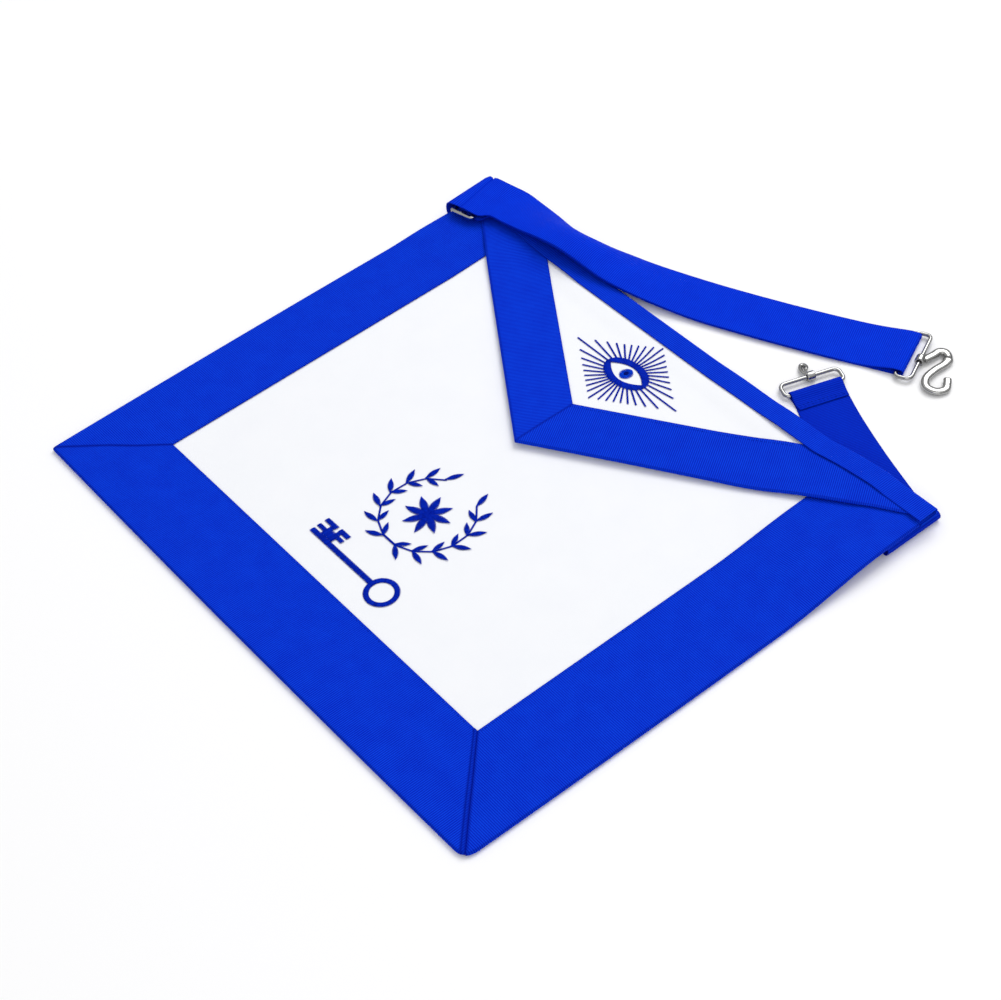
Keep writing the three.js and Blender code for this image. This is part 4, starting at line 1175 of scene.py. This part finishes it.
def cast_hook(name, node, body, bar, degrees, aside, route, reach, wide, thick, knuckle):
    """Cast hook with its collar on the frame's far bar."""
    bm = bmesh.new()
    swept(bm, route_frames(route, reach, knuckle), bar_section(wide, thick, *HOOK_FLATS))
    pitch = math.degrees(math.asin((COLLAR_HIGH - thick / 2 - 0.1) / reach))
    along = heading(degrees)
    across = left_of(along)
    spot = bar + across * aside + along * FRAME_DEPTH + UP * COLLAR_HIGH
    bmesh.ops.transform(bm, matrix=Matrix.Rotation(math.radians(pitch), 4, "Y"), verts=bm.verts)
    collar(bm)
    bmesh.ops.transform(bm, matrix=place_matrix(spot, degrees, 0), verts=bm.verts)
    bmesh.ops.recalc_face_normals(bm, faces=bm.faces)
    finish_piece(name, bm, [nickel], body, node)


def clasps():
    hook_near = hook_bar + hook_across * HOOK_SLIDE
    wire_frame("hook_frame_wire", HOOK_INSIDE, hook_near, HOOK_HEADING, "belt_frame")
    wire_frame("eye_frame_wire", EYE_INSIDE, short_bar, SHORT_HEADING, "strap_frame")
    cast_hook("snake_hook_cast", "snake_hook", "snake", hook_bar, HOOK_HEADING, HOOK_SLIDE + SNAKE_ASIDE,
              SNAKE_ROUTE, SNAKE_REACH, SNAKE_WIDE, SNAKE_THICK, KNUCKLE_PLACE)
    cast_hook("eye_hook_cast", "eye_hook", "eye", short_bar, SHORT_HEADING, EYE_HOOK_ASIDE,
              EYE_ROUTE, EYE_HOOK_REACH, EYE_HOOK_WIDE, EYE_HOOK_THICK, NO_KNUCKLE)


def slider_plate():
    """Flat slider: a merged copy of its solid with softened edges."""
    bm = bmesh.new()
    bm.from_mesh(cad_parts["slider"].data)
    bmesh.ops.scale(bm, vec=(1 / METRE,) * 3, verts=bm.verts)
    bmesh.ops.remove_doubles(bm, verts=bm.verts, dist=1e-3)
    bmesh.ops.dissolve_limit(bm, angle_limit=math.radians(4), verts=bm.verts, edges=bm.edges)
    sharp = [edge for edge in bm.edges if edge.calc_face_angle(0) > math.radians(60)]
    bmesh.ops.bevel(bm, geom=sharp, offset=SLIDER_EDGE, segments=3, profile=0.5, affect="EDGES", material=-1)
    middle = SLIDER_LOW + SLIDER_THICK / 2
    for vert in bm.verts:
        far_side = max((vert.co - BELT_START).dot(slider_across), 0)
        aside = SLIDER_SLIP / 2 - SLIDER_NARROWING * far_side
        vert.co += slider_along * SLIDER_SLIP + slider_across * aside
        vert.co.z = middle + (vert.co.z - middle) * SLIDER_SHOWN
    finish_piece("slider_plate", bm, [nickel], "apron", "slider")


# Embroidery: satin stitches laid side by side over a pad of cloth

class Needle:
    """Collects stitches on a surface and sews them into one mesh."""

    def __init__(self, surface):
        self.surface = surface
        self.lift = 0.0
        self.stitches = []

    def stitch(self, start, end, wide=THREAD_WIDE, high=0.55, material=0):
        self.stitches.append((start, end, wide, high, self.lift, material))

    def sew(self):
        """One mesh with a copy of the thread's shape for each stitch, then each laid in its place."""
        thread = bmesh.new()
        bmesh.ops.create_uvsphere(thread, u_segments=5, v_segments=6, radius=1)
        shape = bpy.data.meshes.new("one_stitch")
        thread.to_mesh(shape)
        thread.free()
        bm = bmesh.new()
        for _ in self.stitches:
            bm.from_mesh(shape)
        tone = bm.verts.layers.float.new("tone")
        points = list(bm.verts)
        faces = list(bm.faces)
        point_count = len(shape.vertices)
        face_count = len(shape.polygons)
        bpy.data.meshes.remove(shape)
        for index, (*line, material) in enumerate(self.stitches):
            shade = shake.random()
            for vert in points[index * point_count:(index + 1) * point_count]:
                vert.co = self.thread_point(vert.co, *line)
                vert[tone] = shade
            for face in faces[index * face_count:(index + 1) * face_count]:
                face.material_index = material
        return bm

    def thread_point(self, spot, start, end, wide, high, lift):
        """Place of a point of the round thread on a stitch that arches from start to end."""
        along = end - start
        t = spot.z
        swell = min(wide / 2, wide * 0.25 + 0.12 * along.length)
        span = math.hypot(spot.x, spot.y)
        scale = swell * (1 - abs(t) ** 5) / span if span > 1e-6 else 0.0
        ahead = along.normalized()
        point = (start + end) / 2 + along * t / 2 + left_of(ahead) * spot.x * scale
        arch = high * math.sqrt(max(1 - t * t, 0))
        point.z = self.surface(point.x, point.y) + LAYER_GAP + lift + arch + spot.y * scale * 0.5
        return point

    def column(self, left, right, length, slant=0.0, **look):
        """Stitches between two edges, each a function of a share along it."""
        count = max(2, round(length / STITCH_PITCH))
        for step in range(count):
            share = (step + 0.5) / count
            jitter = 0.5 * slant / count
            self.stitch(left(share - jitter), right(share + jitter), **look)

    def bar(self, start, end, wide, **look):
        along = end - start
        side = left_of(along.normalized()) * wide / 2
        self.column(lambda t: start + along * t - side, lambda t: start + along * t + side,
                    along.length, slant=1.0, **look)

    def leaf(self, root, degrees, long, wide, **look):
        along = heading(degrees)
        side = left_of(along)

        def edge(sign):
            return lambda t: root + along * t * long + side * sign * wide / 2 * (1 - (2 * t - 1) ** 2)
        self.column(edge(-1), edge(1), long, slant=3.0, **look)

    def disc(self, centre, radius, **look):
        count = max(3, round(2 * radius / STITCH_PITCH))
        for step in range(count):
            y = (2 * (step + 0.5) / count - 1) * radius
            half = math.sqrt(max(radius * radius - y * y, 0.04))
            self.stitch(centre + Vector((-half, y, 0)), centre + Vector((half, y, 0)), **look)

    def ring(self, outer, inner, length, **look):
        """Stitches across a closed ring between two curves of an angle."""
        count = round(length / STITCH_PITCH)
        for step in range(count):
            angle = 2 * math.pi * step / count
            self.stitch(outer(angle), inner(angle), **look)


def embroider(name, node, needle, materials):
    finish_piece(name, needle.sew(), materials, "apron", node)


def ellipse_curve(centre, long, high):
    return lambda angle: centre + Vector((long * math.cos(angle), high * math.sin(angle), 0))


def almond_curve(centre, long, high):
    """Pointed oval: the place on it in the direction of an angle."""
    def curve(angle):
        c, s = math.cos(angle), abs(math.sin(angle))
        if s < 1e-6:
            return centre + Vector((math.copysign(long, c), 0, 0))
        low, far = 0.0, long
        for _ in range(30):
            middle = (low + far) / 2
            x = abs(middle * c)
            if x < long and middle * s < high * (1 - (x / long) ** 2):
                low = middle
            else:
                far = middle
        return centre + Vector((low * c, low * math.sin(angle), 0))
    return curve


def eye_embroidery():
    needle = Needle(flap_top)
    for step in range(RAY_COUNT):
        out = heading(step / RAY_COUNT * 360)
        reach = 1 / (abs(out.x) / RAY_REACH_X + abs(out.y) / RAY_REACH_Y)
        start = 1 / math.hypot(out.x / (EYE_LONG - 1), out.y / (EYE_HIGH - 1))
        needle.bar(EYE_SPOT + out * start, EYE_SPOT + out * reach, RAY_WIDE, high=0.4)
    outer = ellipse_curve(EYE_SPOT, EYE_LONG, EYE_HIGH)
    inner = almond_curve(EYE_SPOT, EYE_LONG * 0.8, EYE_HIGH * 0.55)
    needle.ring(outer, inner, 2 * math.pi * (EYE_LONG + EYE_HIGH) / 2, high=0.6)
    embroider("eye_rays_stitches", "eye_rays", needle, [navy_thread])
    iris = Needle(flap_top)
    iris.disc(EYE_SPOT, IRIS_SIZE / 2, high=0.3)
    iris.lift = 0.25
    iris.disc(EYE_SPOT, PUPIL_SIZE / 2, high=0.3, material=1)
    embroider("eye_iris_stitches", "eye_iris", iris, [blue_thread, pupil_thread])


# Bars of the key's bit: start, end and width as shares of the key's length
KEY_BIT = (
    (-0.42, 0.06, -0.29, 0.06, 0.10),
    (-0.5, 0.065, -0.42, 0.065, 0.045),
    (-0.5, 0.14, -0.37, 0.14, 0.05),
    (-0.40, 0.12, -0.40, 0.06, 0.05),
    (-0.34, 0.145, -0.23, 0.145, 0.05),
    (-0.30, 0.085, -0.23, 0.085, 0.045),
    (-0.32, 0.13, -0.32, 0.06, 0.05),
)


def key_embroidery():
    needle = Needle(field_top)

    def at(x, y):
        return KEY_SPOT + Vector((x * KEY_LONG, y * KEY_LONG, 0))
    bow_middle = at(0.5, 0) - TO_RIGHT * (KEY_BOW / 2)
    hole = KEY_BOW / 2 - KEY_RING
    needle.ring(ellipse_curve(bow_middle, KEY_BOW / 2, KEY_BOW / 2), ellipse_curve(bow_middle, hole, hole),
                math.pi * KEY_BOW)
    needle.bar(at(-0.5, 0), at(0.3, 0) - TO_RIGHT * 3, KEY_STEM)
    for x0, y0, x1, y1, wide in KEY_BIT:
        needle.bar(at(x0, y0), at(x1, y1), wide * KEY_LONG)
    embroider("key_motif_stitches", "key_motif", needle, [navy_thread])


PETAL_COUNT = 8
LEAF_PAIRS = 6
LEAF_SPREAD = 42


def wreath_embroidery():
    rosette = Needle(field_top)
    for step in range(PETAL_COUNT):
        rosette.leaf(WREATH_SPOT, step / PETAL_COUNT * 360 + 22.5, WREATH_SIZE * 0.2, WREATH_SIZE * 0.075)
    rosette.lift = 0.2
    rosette.disc(WREATH_SPOT, WREATH_SIZE * 0.045, high=0.5)
    embroider("rosette_stitches", "rosette", rosette, [navy_thread])
    wreath = Needle(field_top)
    radius = WREATH_SIZE * 0.39
    for side in (-1, 1):
        for step in range(LEAF_PAIRS + 1):
            angle = -90 + side * (10 + 140 * step / LEAF_PAIRS)
            root = WREATH_SPOT + heading(angle) * radius
            after = WREATH_SPOT + heading(angle + side * 150 / LEAF_PAIRS) * radius
            if step < LEAF_PAIRS:
                wreath.bar(root, after, WREATH_SIZE * 0.018, high=0.35)
            growth = angle + side * 90
            wreath.leaf(root, growth - side * LEAF_SPREAD, WREATH_SIZE * 0.15, WREATH_SIZE * 0.055)
            if step < LEAF_PAIRS:
                wreath.leaf(root, growth + side * LEAF_SPREAD, WREATH_SIZE * 0.13, WREATH_SIZE * 0.05)
    wreath.bar(WREATH_SPOT + heading(-102) * radius, WREATH_SPOT + heading(-78) * radius, WREATH_SIZE * 0.022)
    embroider("wreath_stitches", "wreath", wreath, [navy_thread])


# Seams: a row of short stitches beside each sewn edge

SEAM_PITCH = 2.6
SEAM_STITCH = 1.9
SEAM_INSET = 1.5
SEAM_THREAD = 0.34
SEAM_HIGH = 0.16
HEM_SEAMS = (1.6, 3.4)
HEM_HALF = 15.8


def seam(needle, start, end):
    along = (end - start).normalized()
    for step in range(int((end - start).length / SEAM_PITCH)):
        first = start + along * step * SEAM_PITCH
        needle.stitch(first, first + along * SEAM_STITCH, wide=SEAM_THREAD, high=SEAM_HIGH)


def finish_seam(name, needle):
    finish_piece(name, needle.sew(), [seam_thread], "apron", None)


def seams():
    shown = RIBBON_WALL / 2 + RIBBON_SHOWN / 2 - 0.06
    field = Needle(lambda x, y: field_top(x, y) + shown)
    aside = TO_RIGHT * SEAM_INSET
    head = TO_WAIST * (-BAND_FRONT - 1)
    low_left = field_left - aside - TO_WAIST * SEAM_INSET
    low_right = field_right + aside - TO_WAIST * SEAM_INSET
    seam(field, low_left, INNER_EDGES["left"][1] + head - aside)
    seam(field, low_left, low_right)
    seam(field, low_right, INNER_EDGES["right"][1] + head + aside)
    finish_seam("field_seam_stitches", field)
    flap = Needle(lambda x, y: flap_top(x, y) + shown)
    meet = flap_inner_tip() - TO_WAIST * 2 * SEAM_INSET
    reach = (HALF_HIGH - BAND_FRONT - 3 - meet.y) / FLAP_RIGHT_ALONG.y
    seam(flap, meet, meet + FLAP_RIGHT_ALONG * reach)
    finish_seam("flap_seam_stitches", flap)
    hem_top = RIBBON_WALL * 1.5 + RIBBON_SHOWN / 2
    hem = Needle(lambda x, y: hem_top)
    for inset in HEM_SEAMS:
        middle = short_bar - short_along * (HEM_LEG - inset)
        seam(hem, middle - short_across * HEM_HALF, middle + short_across * HEM_HALF)
    finish_seam("hem_stitches", hem)


# Floor, light and camera

FLOOR_SIZE = 12
FLOOR_DROP = 0.0001
SKY_STRENGTH = 0.8
# Height in the sky and its brightness there
SKY_STOPS = ((0.0, (0.12, 0.12, 0.13, 1)), (0.3, (0.4, 0.4, 0.41, 1)), (0.75, (1, 1, 1, 1)))


def studio_floor():
    bm = bmesh.new()
    bmesh.ops.create_grid(bm, x_segments=8, y_segments=8, size=FLOOR_SIZE)
    bmesh.ops.translate(bm, verts=bm.verts, vec=DOWN * FLOOR_DROP)
    mesh = bpy.data.meshes.new("floor")
    bm.to_mesh(mesh)
    bm.free()
    material, _ = new_material("pale_floor", (0.93, 0.93, 0.935), Roughness=0.9, Specular_IOR_Level=0.1)
    mesh.materials.append(material)
    floor = into_scene("floor", mesh)


def studio_world():
    world = bpy.data.worlds.new("studio")
    bpy.context.scene.world = world
    world.use_nodes = True
    back = world.node_tree.nodes["Background"]
    back.inputs["Strength"].default_value = SKY_STRENGTH
    split = tool(world, "ShaderNodeSeparateXYZ")
    link(world, tool(world, "ShaderNodeTexCoord").outputs["Generated"], split, "Vector")
    fade = tool(world, "ShaderNodeValToRGB")
    ramp = fade.color_ramp.elements
    ramp[0].position, ramp[0].color = SKY_STOPS[0]
    ramp[1].position, ramp[1].color = SKY_STOPS[2]
    ramp.new(SKY_STOPS[1][0]).color = SKY_STOPS[1][1]
    link(world, split.outputs["Z"], fade, "Fac")
    link(world, fade.outputs["Color"], back, "Color")


def softbox(name, place, aim, size, power):
    light = bpy.data.lights.new(name, "AREA")
    light.shape = "RECTANGLE"
    light.size, light.size_y = size
    light.energy = power
    lamp = into_scene(name, light)
    lamp.location = place
    lamp.rotation_euler = (Vector(aim) - Vector(place)).to_track_quat("-Z", "Y").to_euler()


VIEW_AZIMUTH = 53.67
VIEW_ELEVATION = 47.09
VIEW_ROLL = -4.87
VIEW_DISTANCE = 1268.5
VIEW_TARGET = Vector((19.1, 1.6, 0))
VIEW_FOCUS = 2135.5
PHOTO_WIDE = 1001
SENSOR_WIDE = 36


def photo_camera():
    a, e, r = (math.radians(value) for value in (VIEW_AZIMUTH, VIEW_ELEVATION, VIEW_ROLL))
    back = Vector((math.sin(a) * math.cos(e), -math.cos(a) * math.cos(e), math.sin(e)))
    right = Vector((math.cos(a), math.sin(a), 0))
    up = back.cross(right)
    side = right * math.cos(r) + up * math.sin(r)
    above = up * math.cos(r) - right * math.sin(r)
    lens = bpy.data.cameras.new("photo_camera")
    lens.sensor_fit = "HORIZONTAL"
    lens.sensor_width = SENSOR_WIDE
    lens.lens = SENSOR_WIDE * VIEW_FOCUS / PHOTO_WIDE
    lens.clip_start = 0.01
    lens.clip_end = 50
    camera = into_scene("photo_camera", lens)
    place = Matrix((side, above, back)).transposed().to_4x4()
    place.translation = (VIEW_TARGET + back * VIEW_DISTANCE) * METRE
    camera.matrix_world = place
    bpy.context.scene.camera = camera


studio_floor()
studio_world()
softbox("key_light", (-0.5, 1.6, 2.2), (0, 0, 0), (1.7, 1.7), 37)
softbox("fill_light", (1.8, -1.2, 1.6), (0, 0, 0), (2.0, 2.0), 15)
photo_camera()
bpy.context.scene.view_settings.view_transform = "Standard"

body_panel()
borders()
flap_panel()
flap_borders()
waist_band()
long_strap()
short_strap()
slider_plate()
clasps()
eye_embroidery()
key_embroidery()
wreath_embroidery()
seams()
